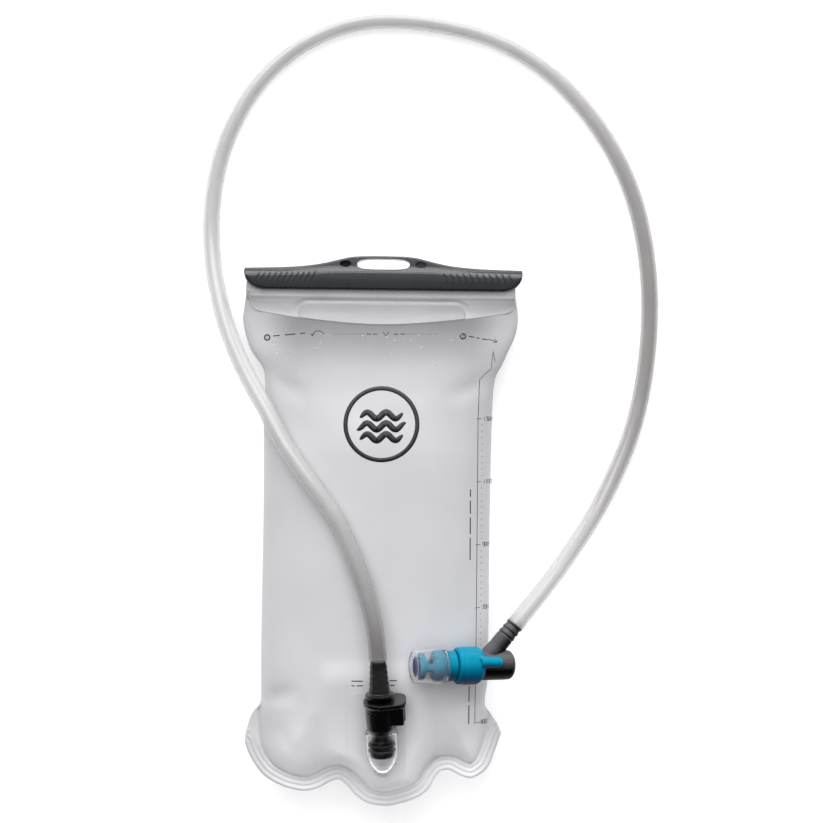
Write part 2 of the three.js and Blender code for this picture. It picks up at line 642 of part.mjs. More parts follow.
function addHose() {
  const points = HOSE_ROUTE.map((p) => new THREE.Vector3(...p));
  const curve = new THREE.CatmullRomCurve3(points, false, 'centripetal');
  addPart(group, 'hose', tube(curve, HOSE_RADIUS, HOSE_STEPS, HOSE_SIDES), 0xc8c9cb, 0.2);
}

addReservoir();
addSeal();
const port = portGroup();
addPort(port);
addCoupler(couplerGroup(port));
addValve(valveFrame());
addHose();

export default group;
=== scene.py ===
"""Hydration bladder: an inflated film reservoir with a slide-seal bar, a quick-release hose and a bite valve.

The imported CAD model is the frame. Sizes are millimetres unless a comment says otherwise; meshes are made in
millimetres and scaled to metres as they are built. The bladder lies on its back: +Z is its front, +Y its top.
"""
import math
import bmesh
import bpy
import numpy as np
from mathutils import Matrix, Vector
from mathutils.bvhtree import BVHTree


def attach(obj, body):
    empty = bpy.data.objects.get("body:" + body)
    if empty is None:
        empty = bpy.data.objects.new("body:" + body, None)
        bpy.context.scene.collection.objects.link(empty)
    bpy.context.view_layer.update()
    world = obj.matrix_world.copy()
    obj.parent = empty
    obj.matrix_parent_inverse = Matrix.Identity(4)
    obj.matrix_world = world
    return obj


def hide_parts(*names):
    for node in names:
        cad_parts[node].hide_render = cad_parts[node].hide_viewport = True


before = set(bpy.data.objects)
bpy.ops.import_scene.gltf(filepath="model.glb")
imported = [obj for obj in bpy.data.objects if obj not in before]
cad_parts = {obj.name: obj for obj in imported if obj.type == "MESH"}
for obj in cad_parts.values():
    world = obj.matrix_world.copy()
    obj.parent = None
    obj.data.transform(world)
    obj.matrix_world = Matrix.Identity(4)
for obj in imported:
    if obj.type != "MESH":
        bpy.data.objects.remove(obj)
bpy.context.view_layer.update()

MM = 0.001

# ---------------------------------------------------------------- camera

CAMERA_X, CAMERA_Y, CAMERA_HEIGHT = 15.85, 64.9, 1000.0
VIEW_WIDTH = 463.0  # width of the floor that the camera sees


def linked(name, data):
    """An object of the scene with this mesh, camera or light."""
    thing = bpy.data.objects.new(name, data)
    bpy.context.scene.collection.objects.link(thing)
    return thing


def add_camera():
    data = bpy.data.cameras.new("camera")
    data.sensor_width = 36.0
    data.lens = data.sensor_width * CAMERA_HEIGHT / VIEW_WIDTH
    data.clip_start = 0.01
    data.clip_end = 20.0
    camera = linked("camera", data)
    camera.location = (CAMERA_X * MM, CAMERA_Y * MM, CAMERA_HEIGHT * MM)
    bpy.context.scene.camera = camera


add_camera()

# ---------------------------------------------------------------- mesh helpers


def new_object(name, mesh, material, smooth_angle):
    """Links a mesh that is already in metres as an object, smooth except at edges over smooth_angle."""
    mesh.polygons.foreach_set("use_smooth", [True] * len(mesh.polygons))
    if smooth_angle < 180:
        mesh.set_sharp_from_angle(angle=math.radians(smooth_angle))
    mesh.materials.clear()
    mesh.materials.append(material)
    return linked(name, mesh)


def make_mesh(name, points, faces):
    """A mesh from points in millimetres, with its faces turned outwards."""
    mesh = bpy.data.meshes.new(name)
    mesh.from_pydata((np.asarray(points, dtype=float) * MM).tolist(), [], faces)
    work = bmesh.new()
    work.from_mesh(mesh)
    bmesh.ops.remove_doubles(work, verts=work.verts, dist=1e-7)
    bmesh.ops.recalc_face_normals(work, faces=work.faces)
    work.to_mesh(mesh)
    work.free()
    mesh.update()
    return mesh


def merged_mesh(name, parts):
    """One mesh from several (points, faces) parts that stay separate closed bodies."""
    points, faces = [], []
    for part_points, part_faces in parts:
        base = len(points)
        points.extend(np.asarray(part_points, dtype=float).tolist())
        faces.extend([tuple(base + i for i in face) for face in part_faces])
    return make_mesh(name, points, faces)


def grid_quads(rows, cols, base=0, closed=False):
    """Faces of a rows by cols grid of points; closed joins the last column to the first."""
    faces = []
    for row in range(rows - 1):
        for col in range(cols if closed else cols - 1):
            near, far = base + row * cols, base + (row + 1) * cols
            nxt = (col + 1) % cols
            faces.append((near + col, near + nxt, far + nxt, far + col))
    return faces


def loft(sections, caps=True):
    """(points, faces) of a closed body through loops that share their count of points."""
    rows, cols = len(sections), len(sections[0])
    points = [tuple(p) for section in sections for p in section]
    faces = grid_quads(rows, cols, closed=True)
    if caps:
        faces.append(tuple(reversed(range(cols))))
        faces.append(tuple(range((rows - 1) * cols, rows * cols)))
    return points, faces


def fillet(profile, radius, steps=4, closed=False):
    """A polyline with its corners rounded; radius is cut to fit short edges."""
    points = [np.array(p, dtype=float) for p in profile]
    count = len(points)
    out = []
    for i, corner in enumerate(points):
        if not closed and i in (0, count - 1):
            out.append(tuple(corner))
            continue
        before, after = points[i - 1] - corner, points[(i + 1) % count] - corner
        long_before, long_after = np.linalg.norm(before), np.linalg.norm(after)
        if long_before < 1e-6 or long_after < 1e-6:
            continue
        reach = min(radius, 0.45 * long_before, 0.45 * long_after)
        start, end = corner + before / long_before * reach, corner + after / long_after * reach
        for k in range(steps + 1):
            t = k / steps
            out.append(tuple((1 - t) ** 2 * start + 2 * t * (1 - t) * corner + t * t * end))
    return out


def oval(x, y, half_length, half_width, count=32):
    angles = np.linspace(0, 2 * math.pi, count, endpoint=False)
    return [(x + half_length * math.cos(a), y + half_width * math.sin(a)) for a in angles]


def lathe(profile, segments=64, radius=0.0, steps=3):
    """(points, faces) of a body turned about Y; its profile runs from axis to axis, or closes on itself."""
    on_axis = profile[0][0] < 1e-6 and profile[-1][0] < 1e-6
    line = fillet(profile, radius, steps, closed=not on_axis) if radius else list(profile)
    if not on_axis:
        line = line + [line[0]]
    points, faces = [], []
    for r, y in line:
        for k in range(segments):
            angle = 2 * math.pi * k / segments
            points.append((r * math.sin(angle), y, r * math.cos(angle)))
    for row in range(len(line) - 1):
        for k in range(segments):
            a, b = row * segments + k, row * segments + (k + 1) % segments
            quad = (a, b, b + segments, a + segments)
            if line[row][0] < 1e-6:
                quad = (a, b + segments, a + segments)
            elif line[row + 1][0] < 1e-6:
                quad = (a, b, a + segments)
            faces.append(quad)
    return points, faces


def rod(radius, low, high, segments=40):
    """(points, faces) of a plain cylinder about Y."""
    return lathe([(0, low), (radius, low), (radius, high), (0, high)], segments)


def moved(part, matrix):
    """A (points, faces) part moved by a matrix in millimetres."""
    turn = np.array(matrix)
    points = np.asarray(part[0], dtype=float) @ turn[:3, :3].T + turn[:3, 3]
    return points.tolist(), part[1]


def evaluated(thing):
    """The mesh of an object with its modifiers applied."""
    bpy.context.view_layer.update()
    graph = bpy.context.evaluated_depsgraph_get()
    return bpy.data.meshes.new_from_object(thing.evaluated_get(graph))


def remesh(thing, voxel):
    skin = thing.modifiers.new("skin", "REMESH")
    skin.mode = "VOXEL"
    skin.voxel_size = voxel * MM


def skin_of(name, parts, voxel):
    """A scratch object whose remesh modifier wraps one skin round several closed parts."""
    scratch = linked(name, merged_mesh(name, parts))
    remesh(scratch, voxel)
    return scratch


def cut_away(thing, knife):
    cut = thing.modifiers.new("cut", "BOOLEAN")
    cut.operation = "DIFFERENCE"
    cut.solver = "MANIFOLD"
    cut.object = knife


def add_piece(name, mesh, look, body, slot, node=None, smooth_angle=180):
    """A piece that rides on its body and hides the CAD node that it stands for."""
    piece = new_object(name, mesh, LOOKS[look], smooth_angle)
    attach(piece, body)
    if node:
        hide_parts(node)
    return piece


def add_fused(name, parts, cuts, matrix, voxel, smoothing, *finish):
    """A piece that is one skin round closed parts, less the cuts, with soft fillets where parts meet."""
    scratch = skin_of("scratch", parts, voxel)
    knife = skin_of("knife", cuts, voxel)
    cut_away(scratch, knife)
    remesh(scratch, voxel)
    soften = scratch.modifiers.new("soften", "SMOOTH")
    soften.iterations = smoothing
    mesh = evaluated(scratch)
    bpy.data.objects.remove(scratch)
    bpy.data.objects.remove(knife)
    turn = Matrix(matrix)
    turn.translation = turn.translation * MM
    mesh.transform(turn)
    mesh.name = name
    return add_piece(name, mesh, *finish)


def repaint(piece, look, chosen):
    """Gives the faces whose centre, in millimetres, is chosen a second look."""
    piece.data.materials.append(LOOKS[look])
    for face in piece.data.polygons:
        if chosen(face.center / MM):
            face.material_index = 1


def through(stations, at):
    """Smooth cubic through (position, value) stations, without overshoot."""
    xs = np.array([s[0] for s in stations], dtype=float)
    ys = np.array([s[1] for s in stations], dtype=float)
    at = np.clip(np.asarray(at, dtype=float), xs[0], xs[-1])
    steps, rises = np.diff(xs), np.diff(ys)
    slopes = rises / steps
    tangents = np.zeros_like(xs)
    for i in range(1, len(xs) - 1):
        if slopes[i - 1] * slopes[i] > 0:
            tangents[i] = 2 / (1 / slopes[i - 1] + 1 / slopes[i])
    tangents[0], tangents[-1] = slopes[0], slopes[-1]
    i = np.clip(np.searchsorted(xs, at, side="right") - 1, 0, len(xs) - 2)
    h, t = steps[i], (at - xs[i]) / steps[i]
    return (
        (1 + 2 * t) * (1 - t) ** 2 * ys[i]
        + t * (1 - t) ** 2 * h * tangents[i]
        + t * t * (3 - 2 * t) * ys[i + 1]
        + t * t * (t - 1) * h * tangents[i + 1]
    )


def smoothstep(low, high, at):
    t = np.clip((np.asarray(at, dtype=float) - low) / (high - low), 0, 1)
    return t * t * (3 - 2 * t)


# ---------------------------------------------------------------- hose route

HOSE_ROUTE = [  # the hose's centreline, as in part.mjs
    (-1.6, -67.4, 68), (-2.2, -58.5, 68.5), (-3.3, -49.6, 68), (-5.6, -39.3, 66.4), (-9.7, -25.4, 63.6),
    (-15.6, -10.4, 60.9), (-23, 5.9, 59.4), (-31.6, 19.1, 58.2), (-40.7, 31.2, 56), (-50, 44.4, 52.6),
    (-56.4, 55, 49.1), (-62.1, 65.7, 44.8), (-68.7, 76.5, 39.6), (-74.9, 87.5, 34), (-80.3, 98.5, 28.6),
    (-85, 109.7, 23.2), (-88.8, 121, 18.2), (-93.1, 138, 11.8), (-95.5, 155.1, 7.4), (-96.1, 172.1, 5.2),
    (-94.7, 188.9, 4.8), (-91.4, 205.7, 4.8), (-85.5, 222.5, 4.8), (-76.8, 239.3, 4.8),
    (-63.6, 256.1, 4.8), (-43.8, 271.5, 4.8), (-18.6, 281.8, 4.8), (4.9, 284.1, 4.8), (31.8, 281.5, 4.8),
    (63.7, 272.9, 4.8), (91.7, 256.1, 4.8), (113.5, 233.7, 4.8), (131.7, 205.7, 4.8), (144, 172.1, 4.8),
    (149.6, 121.7, 4.8), (141.5, 60.1, 5.6), (121.7, 15.8, 14.5), (107.6, -5, 26.5), (91.5, -25.4, 40),
    (73.1, -46.8, 49.2),
]

# ---------------------------------------------------------------- materials


def set_stops(ramp, stops):
    """Gives a colour ramp its (position, colour) stops."""
    while len(ramp.elements) < len(stops):
        ramp.elements.new(0.5)
    for element, (position, color) in zip(ramp.elements, stops):
        element.position = position
        element.color = (*color, 1)


class Look:
    """A material with one Principled shader, and small helpers that chain procedural nodes into it."""

    def __init__(self, name, color, roughness, **plain):
        self.material = bpy.data.materials.new(name)
        self.material.use_nodes = True
        self.nodes = self.material.node_tree.nodes
        self.links = self.material.node_tree.links
        self.shader = self.nodes["Principled BSDF"]
        self.shader.inputs["Base Color"].default_value = (*color, 1)
        self.shader.inputs["Roughness"].default_value = roughness
        for socket, value in plain.items():
            self.shader.inputs[socket.replace("_", " ")].default_value = value
        self.color = color
        self.place = self.nodes.new("ShaderNodeTexCoord").outputs["Object"]
        self.bump = None

    def node(self, kind, **values):
        made = self.nodes.new(kind)
        for key, value in values.items():
            if key in made.inputs:
                made.inputs[key].default_value = value
            else:
                setattr(made, key, value)
        return made

    def noise(self, scale_mm, detail=2.0, stretch=(1, 1, 1)):
        """Noise whose features are about scale_mm across."""
        mapping = self.node("ShaderNodeMapping")
        mapping.inputs["Scale"].default_value = stretch
        self.links.new(self.place, mapping.inputs["Vector"])
        noise = self.node("ShaderNodeTexNoise", Scale=1 / (scale_mm * MM), Detail=detail)
        self.links.new(mapping.outputs["Vector"], noise.inputs["Vector"])
        return noise.outputs["Fac"]

    def stops(self, source, stops):
        """Maps a factor to a colour through (position, colour) stops."""
        ramp = self.nodes.new("ShaderNodeValToRGB")
        set_stops(ramp.color_ramp, stops)
        self.links.new(source, ramp.inputs["Fac"])
        return ramp.outputs["Color"]

    def ramp(self, source, low, high, at=(0.3, 0.7)):
        """Maps a factor to a colour between low and high."""
        return self.stops(source, ((at[0], low), (at[1], high)))

    def span(self, source, low, high, start=0.0, end=1.0, kind="LINEAR"):
        """Maps a number between start and end to one between low and high."""
        node = self.node("ShaderNodeMapRange", interpolation_type=kind)
        for socket, value in (("From Min", start), ("From Max", end), ("To Min", low), ("To Max", high)):
            node.inputs[socket].default_value = value
        self.links.new(source, node.inputs["Value"])
        return node.outputs["Result"]

    def mottled(self, size_mm, detail, drift):
        """The look's own colour, drifting by this share to both sides."""
        low, high = shade(self.color, 1 - drift), shade(self.color, 1 + drift)
        return self.ramp(self.noise(size_mm, detail), low, high)

    def uneven_gloss(self, size_mm, detail, low, high):
        self.into(self.span(self.noise(size_mm, detail), low, high), "Roughness")

    def axis(self, name, source=None):
        """One coordinate of the place on the object, or of another vector."""
        split = self.node("ShaderNodeSeparateXYZ")
        self.links.new(source or self.place, split.inputs["Vector"])
        return split.outputs[name]

    def tinted(self, source, start, end, tint):
        """A factor for colours that goes from tint, where source is start, to white, where it is end."""
        return self.ramp(self.span(source, 0, 1, start, end), tint, (1, 1, 1), (0, 1))

    def multiply(self, first, second):
        mix = self.node("ShaderNodeMix", data_type="RGBA", blend_type="MULTIPLY")
        mix.inputs["Factor"].default_value = 1.0
        self.links.new(first, mix.inputs["A"])
        self.links.new(second, mix.inputs["B"])
        return mix.outputs["Result"]

    def into(self, source, socket):
        self.links.new(source, self.shader.inputs[socket])
        return self

    def bumps(self, source, height_mm, strength=1.0):
        bump = self.node("ShaderNodeBump", Strength=strength, Distance=height_mm * MM)
        self.links.new(source, bump.inputs["Height"])
        if self.bump:
            self.links.new(self.bump, bump.inputs["Normal"])
        self.bump = bump.outputs["Normal"]
        self.links.new(self.bump, self.shader.inputs["Normal"])
        return self


def shade(color, factor):
    return tuple(min(1.0, c * factor) for c in color)


def plastic(name, color, roughness, sheen_at_edges=False, painted_underside_shade=None, **plain):
    """Moulded plastic: fine grain, slow colour drift, handling marks in the gloss.

    The optional (low, high, tint) paints shade on the undersides: the colour falls to tint where the normal's
    Y goes from high down to low.
    """
    look = Look(name, color, roughness, **plain)
    if sheen_at_edges:
        facing = look.node("ShaderNodeLayerWeight", Blend=0.5).outputs["Facing"]
        look.into(look.span(facing, 0.03, 1.0), "Specular IOR Level")
        look.into(look.span(facing, -0.3, 1.0), "Coat Weight")
        look.shader.inputs["Coat Roughness"].default_value = 0.3
    drift = look.mottled(14, 3, 0.12)
    # painted shade: faces turned towards -Y, away from the key light, darken towards tint
    if painted_underside_shade:
        low, high, tint = painted_underside_shade
        facing_up = look.axis("Y", look.node("ShaderNodeNewGeometry").outputs["Normal"])
        drift = look.multiply(drift, look.tinted(facing_up, low, high, tint))
    look.into(drift, "Base Color")
    look.uneven_gloss(5, 4, roughness * 0.8, min(1, roughness * 1.25))
    look.bumps(look.noise(0.25, 2), 0.012, 0.6)
    return look.material


PAINTED_LIGHT_SIDE_SHARE, PAINTED_LIGHT_SIDE_FADE = 0.35, (0.072, 0.045)  # share of the painted light and shade that stays at the sides; metres from the middle
COUPLER_SHADE = (0.012, 0.085)  # metres from the route's first point, where the hose's painted shade is deepest and where it has faded
RIGHT_SHADE = (0.155, 0.09)  # X in metres, where the hose's painted shade is deepest and where it has faded
PAINTED_FILM_LIGHT_AND_SHADE = (  # (y, how light the film is there): painted light and shade
    (-150, 1.75), (-128, 1.7), (-112, 1.5), (-90, 1.26), (-60, 1.18), (45, 1.13), (66, 0.93), (77, 0.78),
    (88, 0.68), (96, 0.54), (102, 0.44), (110, 0.38), (125, 0.38),
)


def film_material():
    """Frosted film: painted light makes it lighter at its foot, painted shade makes it darker under the flap,
    and both are plainer towards its sides.
    """
    look = Look("film", (0.575, 0.575, 0.59), 0.38, Alpha=0.9, IOR=1.45)
    first, last = PAINTED_FILM_LIGHT_AND_SHADE[0][0], PAINTED_FILM_LIGHT_AND_SHADE[-1][0]
    stops = [((y - first) / (last - first), (tone, tone, tone)) for y, tone in PAINTED_FILM_LIGHT_AND_SHADE]
    # painted light and shade along Y: lighter at the foot, darker under the flap
    painted_light_and_shade = look.stops(look.span(look.axis("Y"), 0, 1, first * MM, last * MM), stops)
    colour_and_painted_light = look.multiply(look.mottled(38, 2, 0.03), painted_light_and_shade)
    aside = look.node("ShaderNodeMath", operation="ABSOLUTE")
    look.links.new(look.axis("X"), aside.inputs[0])
    share = look.span(aside.outputs["Value"], PAINTED_LIGHT_SIDE_SHARE, 1.0, *PAINTED_LIGHT_SIDE_FADE, "SMOOTHSTEP")
    look.links.new(share, colour_and_painted_light.node.inputs["Factor"])
    look.into(colour_and_painted_light, "Base Color")
    look.uneven_gloss(9, 3, 0.3, 0.46)
    look.bumps(look.noise(0.5, 2), 0.015, 0.5)
    look.bumps(look.noise(26, 2, (1.0, 0.45, 1.0)), 0.7, 0.5)
    return look.material


def flap_material():
    look = Look("flap_film", (0.53, 0.53, 0.54), 0.36, Alpha=0.9, IOR=1.45)
    look.into(look.mottled(30, 2, 0.06), "Base Color")
    look.bumps(look.noise(0.5, 2), 0.015, 0.5)
    look.bumps(look.noise(18, 2, (1.0, 0.6, 1.0)), 0.5, 0.5)
    return look.material


def clear_material(name, color, roughness, **plain):
    look = Look(name, color, roughness, **plain)
    look.into(look.mottled(22, 2, 0.04), "Base Color")
    look.uneven_gloss(4, 3, roughness * 0.7, roughness * 1.4)
    look.bumps(look.noise(7, 2), 0.05, 0.4)
    return look.material


def hose_material():
    """Clear hose: milky in the light, with painted shade that makes it darker towards the coupler and along
    the far right of the arch.
    """
    look = Look("hose_clear", (0.62, 0.61, 0.61), 0.14, Alpha=0.5, Coat_Weight=0.9, Coat_Roughness=0.08)
    from_coupler = look.node("ShaderNodeVectorMath", operation="DISTANCE")
    look.links.new(look.place, from_coupler.inputs[0])
    from_coupler.inputs[1].default_value = Vector(HOSE_ROUTE[0]) * MM
    # painted shade near the coupler and along the far right of the arch
    near = look.tinted(from_coupler.outputs["Value"], *COUPLER_SHADE, (0.4, 0.39, 0.385))
    right = look.tinted(look.axis("X"), *RIGHT_SHADE, (0.55, 0.53, 0.52))
    look.into(look.multiply(look.multiply(look.mottled(22, 2, 0.04), near), right), "Base Color")
    look.uneven_gloss(4, 3, 0.1, 0.2)
    look.bumps(look.noise(7, 2), 0.05, 0.4)
    return look.material


def ink_material(name, color):
    """Screen-printed ink, mottled by the grain of the film under it."""
    look = Look(name, color, 0.5)
    look.into(look.ramp(look.noise(0.6, 3), shade(color, 0.6), shade(color, 2.4), (0.35, 0.75)), "Base Color")
    return look.material


LOOKS = {
    "film": film_material(),
    "flap": flap_material(),
    "tab": clear_material("tab_film", (0.48, 0.48, 0.49), 0.35, Alpha=0.9),
    "hose": hose_material(),
    "stretched": clear_material("hose_stretched", (0.5, 0.5, 0.5), 0.1, Alpha=0.012),
    "port": clear_material("clear_moulding", (0.95, 0.95, 0.96), 0.1, Transmission_Weight=1.0, IOR=1.22),
    "flange": clear_material("clear_flange", (0.75, 0.75, 0.76), 0.2, Alpha=0.035),
    # painted shade on the undersides of the bar, grey and blue plastics
    "bar": plastic("bar_plastic", (0.03, 0.0315, 0.037), 0.26, painted_underside_shade=(-0.6, -0.05, (0.1, 0.1, 0.1)),
                   Coat_Weight=0.2, Coat_Roughness=0.16),
    "black": plastic("black_plastic", (0.0015, 0.0015, 0.002), 0.34, sheen_at_edges=True),
    "stem": plastic("black_stem", (0.0015, 0.0015, 0.002), 0.22, Specular_IOR_Level=0.3),
    "grey": plastic("grey_plastic", (0.1, 0.1, 0.107), 0.4, painted_underside_shade=(-0.25, 0.6, (0.005, 0.005, 0.008)),
                    Specular_IOR_Level=0.1),
    "blue": plastic("blue_plastic", (0.0, 0.225, 0.35), 0.3, painted_underside_shade=(-0.8, 0.2, (0.1, 0.05, 0.22)),
                    Specular_IOR_Level=0.1),
    "sheath": clear_material("clear_silicone", (0.97, 0.98, 0.99), 0.1, Transmission_Weight=0.96, IOR=1.2),
    "membrane": plastic("blue_silicone", (0.002, 0.03, 0.14), 0.45),
    "rubber": plastic("seal_rubber", (0.012, 0.012, 0.013), 0.6),
    "steel": plastic("spring_steel", (0.6, 0.6, 0.62), 0.28, Metallic=1.0),
    "rail": plastic("rail_plastic", (0.5, 0.5, 0.52), 0.45),
    "ink": ink_material("print_ink", (0.012, 0.012, 0.013)),
    "droplet": clear_material("droplets", (0.9, 0.9, 0.91), 0.2, Alpha=0.2),
}

# ---------------------------------------------------------------- film surfaces

LEFT_EDGE = [
    (-116, -75.4), (-111, -74.7), (-105.3, -73.4), (-99.6, -71.2), (-95.5, -67.6), (-92, -66.5),
    (-66, -66.4), (-38, -66), (16, -65), (60, -64.8), (78, -64.3), (86, -64.8), (93, -68.6), (99, -72.6),
    (104, -74.6), (110, -76.3), (116, -77.2), (121, -76.6), (127, -75.8), (132, -75.2), (143, -74.6),
]
RIGHT_EDGE = [
    (-111, 64.8), (-105, 62.2), (-99.6, 58.6), (-95.5, 56), (-91, 56.2), (-84, 57.3), (-66, 57.9),
    (-11, 58.4), (44, 59.4), (75, 60.6), (84, 62.2), (90, 65.4), (99, 69.6), (104, 71.9), (110, 73.8),
    (116, 74.6), (121, 74.4), (127, 73.4), (132, 73), (143, 72.8),
]
BOTTOM_EDGE = [  # (across from -1 to 1, y)
    (-1, -115.8), (-0.975, -121), (-0.92, -128), (-0.85, -133.9), (-0.76, -138), (-0.645, -141.2),
    (-0.53, -142.5), (-0.43, -141), (-0.33, -137.4), (-0.27, -136.2), (-0.21, -139), (-0.13, -145),
    (-0.03, -149.4), (0.1, -150.7), (0.23, -149), (0.36, -145.6), (0.44, -141), (0.49, -134.5),
    (0.53, -131.6), (0.585, -130.9), (0.675, -133.9), (0.76, -135.6), (0.85, -132.8), (0.91, -128),
    (0.95, -121), (0.98, -115), (1, -111),
]
WELD = 8.0  # width of the ribbed weld along the bottom
SEAM_BODY, SEAM_NECK = 27.5, 17.05
FULL_Y, FLAT_Y = 42.0, 124.0
FRONT_RISE, BACK_RISE = 26.6, 30.5
FILM = 0.35
INFLATED_HALF = 62.6

COUPLER_AT = (-0.8, -86.3, 65.3)
PORT_TILT = math.radians(8)
COUPLER_LEAN = math.radians(2.3)
FLANGE_DROP = 10.5
PORT_X, PORT_ASIDE, PORT_ABOVE = -3.2, (20, 34), (-82, -66)  # where the film leaves the port's plane


def seam_z(y):
    return SEAM_BODY + (SEAM_NECK - SEAM_BODY) * smoothstep(66, 122, y)


def left_x(y):
    return through(LEFT_EDGE, y)


def right_x(y):
    return through(RIGHT_EDGE, y)


def bottom_line():
    """The bottom edge as points in the plan."""
    u = np.linspace(-1, 1, 241)
    y = through(BOTTOM_EDGE, u)
    return np.stack([film_x(u, y), y], axis=1)


def film_x(u, y):
    left, right = left_x(y), right_x(y)
    return 0.5 * (left + right) + 0.5 * (right - left) * u


BOTTOM = bottom_line()


def from_bottom(x, y):
    """Distance in the plan from the bottom edge."""
    flat = np.stack([np.ravel(x), np.ravel(y)], axis=1)
    starts, spans = BOTTOM[:-1], np.diff(BOTTOM, axis=0)
    nearest = np.full(len(flat), 1e9)
    for start, span in zip(starts, spans):
        t = np.clip(((flat - start) @ span) / (span @ span + 1e-9), 0, 1)
        nearest = np.minimum(nearest, np.hypot(*(flat - start - t[:, None] * span).T))
    return nearest.reshape(np.shape(x))


def fill(x, y, edge):
    """How full the bag is, from 0 at the welds to 1 in the middle; edge is how far the bottom edge is."""
    middle = -2.9 + 0.0167 * y
    widest = INFLATED_HALF + 14 * smoothstep(58, 98, y)
    half_left = np.minimum(middle - left_x(y), widest)
    half_right = np.minimum(right_x(y) - middle, widest)
    across = np.where(x < middle, (middle - x) / half_left, (x - middle) / half_right)
    sides = 1 - np.clip(across, 0, 1) ** 2.25
    inward = np.clip((edge - WELD) / 58, 0, 1)
    end = 1 - (1 - inward) ** 2.7
    top = (1 - smoothstep(FULL_Y, FLAT_Y, y)) ** 1.3
    return np.sqrt(np.clip(sides * end * top, 0, 1))


def port_plane(y):
    top_z = COUPLER_AT[2] - FLANGE_DROP * math.cos(PORT_TILT) - 0.15
    top_y = COUPLER_AT[1] + FLANGE_DROP * math.sin(PORT_TILT)
    return top_z + (y - top_y) * math.tan(PORT_TILT)


def crease(x, y, start, end, height, width):
    """A soft ridge (or groove, if height is negative) from start to end that dies away at both ends."""
    start, end = np.array(start, dtype=float), np.array(end, dtype=float)
    span = end - start
    t = ((x - start[0]) * span[0] + (y - start[1]) * span[1]) / (span @ span)
    off = ((x - start[0]) * -span[1] + (y - start[1]) * span[0]) / np.linalg.norm(span)
    along = np.clip(1 - (2 * t - 1) ** 2, 0, 1)
    return height * along * np.exp(-((off / width) ** 2))


CREASES = [  # start, end, height, width of the soft folds on the front
    ((-66, 86), (-38, 72), -1.6, 5), ((-72, 100), (-40, 96), 0.9, 6), ((62, 84), (34, 72), -1.5, 5),
    ((72, 102), (40, 98), 0.9, 6), ((-66, -92), (-44, -84), -1.4, 4.5), ((56, -94), (34, -86), -1.3, 4.5),
    ((-28, -128), (-34, -96), -0.9, 5), ((33, -124), (30, -92), -0.9, 5), ((-58, 60), (-54, -30), -0.7, 4),
    ((52, 52), (49, -40), -0.6, 4), ((-20, 66), (18, 60), -0.5, 6), ((-58, -104), (-46, -122), -0.8, 4),
    ((48, -104), (40, -118), -0.8, 4), ((2, 100), (0, 76), -0.6, 9),
]


def front_z(x, y, edge=None):
    """Height of the front film's outer face."""
    if edge is None:
        edge = from_bottom(x, y)
    full = fill(x, y, edge)
    z = seam_z(y) + FILM + 0.1 + FRONT_RISE * full
    for start, end, height, width in CREASES:
        z = z + crease(x, y, start, end, height, width) * np.clip(full * 2, 0, 1)
    near_port = (1 - smoothstep(*PORT_ASIDE, np.abs(x - PORT_X))) * (1 - smoothstep(*PORT_ABOVE, y))
    z = z + near_port * (np.minimum(z + 6, port_plane(y)) - z) * smoothstep(WELD, WELD + 5, edge)
    return z + ribs(edge)


def ribs(edge):
    """Three raised ribs along the bottom weld."""
    wave = 0.5 - 0.5 * np.cos(2 * math.pi * np.clip(edge / 2.6, 0, 3))
    return 0.75 * wave * (1 - smoothstep(7.6, 8.2, edge))


def back_z(x, y, edge=None):
    """Height of the back film's outer face, flat where it lies on the floor."""
    if edge is None:
        edge = from_bottom(x, y)
    z = seam_z(y) - FILM - 0.1 - BACK_RISE * fill(x, y, edge)
    return np.where(z < 1.2, 0.02 + 1.18 * np.exp(np.minimum(z - 1.2, 0) / 1.18), z)


# ---------------------------------------------------------------- reservoir

FOLD_Y, FOLD_Z = 139.6, 18.9
FRONT_BEND, BACK_BEND = 1.35, 2.35
FLAP_LOW_Y, FLAP_RISE = 112.4, 7.4
NECK_Y = 131.5
NECK_SLANT = -0.012  # the mouth and its bar run slightly downhill to the right
COLUMNS = 121
END_ROWS, BODY_ROWS, BEND_ROWS, FLAP_ROWS = 17, 110, 10, 30
FRONT_FLAP, BACK_FLAP = (2.15, 0.08), (3.7, 0.2)  # height over the front film at the mouth and the free edge
TAB_MIDDLE, TAB_HALF, TAB_TOP, TAB_CORNER, TAB_THICK = -0.6, 46.0, 124.4, 5.5, 0.5


def slanted(x, y):
    """y with the mouth's slant, which dies away over the shoulders."""
    return y + NECK_SLANT * x * smoothstep(96, 124, y)


def spread(count, power=0.75):
    """Positions from -1 to 1, closer together near the ends."""
    t = np.linspace(-1, 1, count)
    return np.sin(t * math.pi / 2) * power + t * (1 - power)


def flap_edge(x):
    """Lower edge of the folded flap, with rounded ends."""
    reach = np.abs(x)
    low = FLAP_LOW_Y + FLAP_RISE * (reach / 69) ** 1.7
    return low + 5.5 * (1 - np.sqrt(1 - np.clip((reach - 68.5) / 5.2, 0, 1) ** 2))


def body_grid():
    """x and y of the film's rows, from the bottom edge to the mouth of the bar."""
    u = spread(COLUMNS)
    edge_y = through(BOTTOM_EDGE, u)
    rows = [edge_y + step for step in np.linspace(0, 11, END_ROWS)]
    start = rows[-1]
    for t in np.linspace(0, 1, BODY_ROWS)[1:]:
        rows.append(start + (NECK_Y - start) * t)
    y = np.array(rows)
    return film_x(np.tile(u, (len(rows), 1)), y), y, u


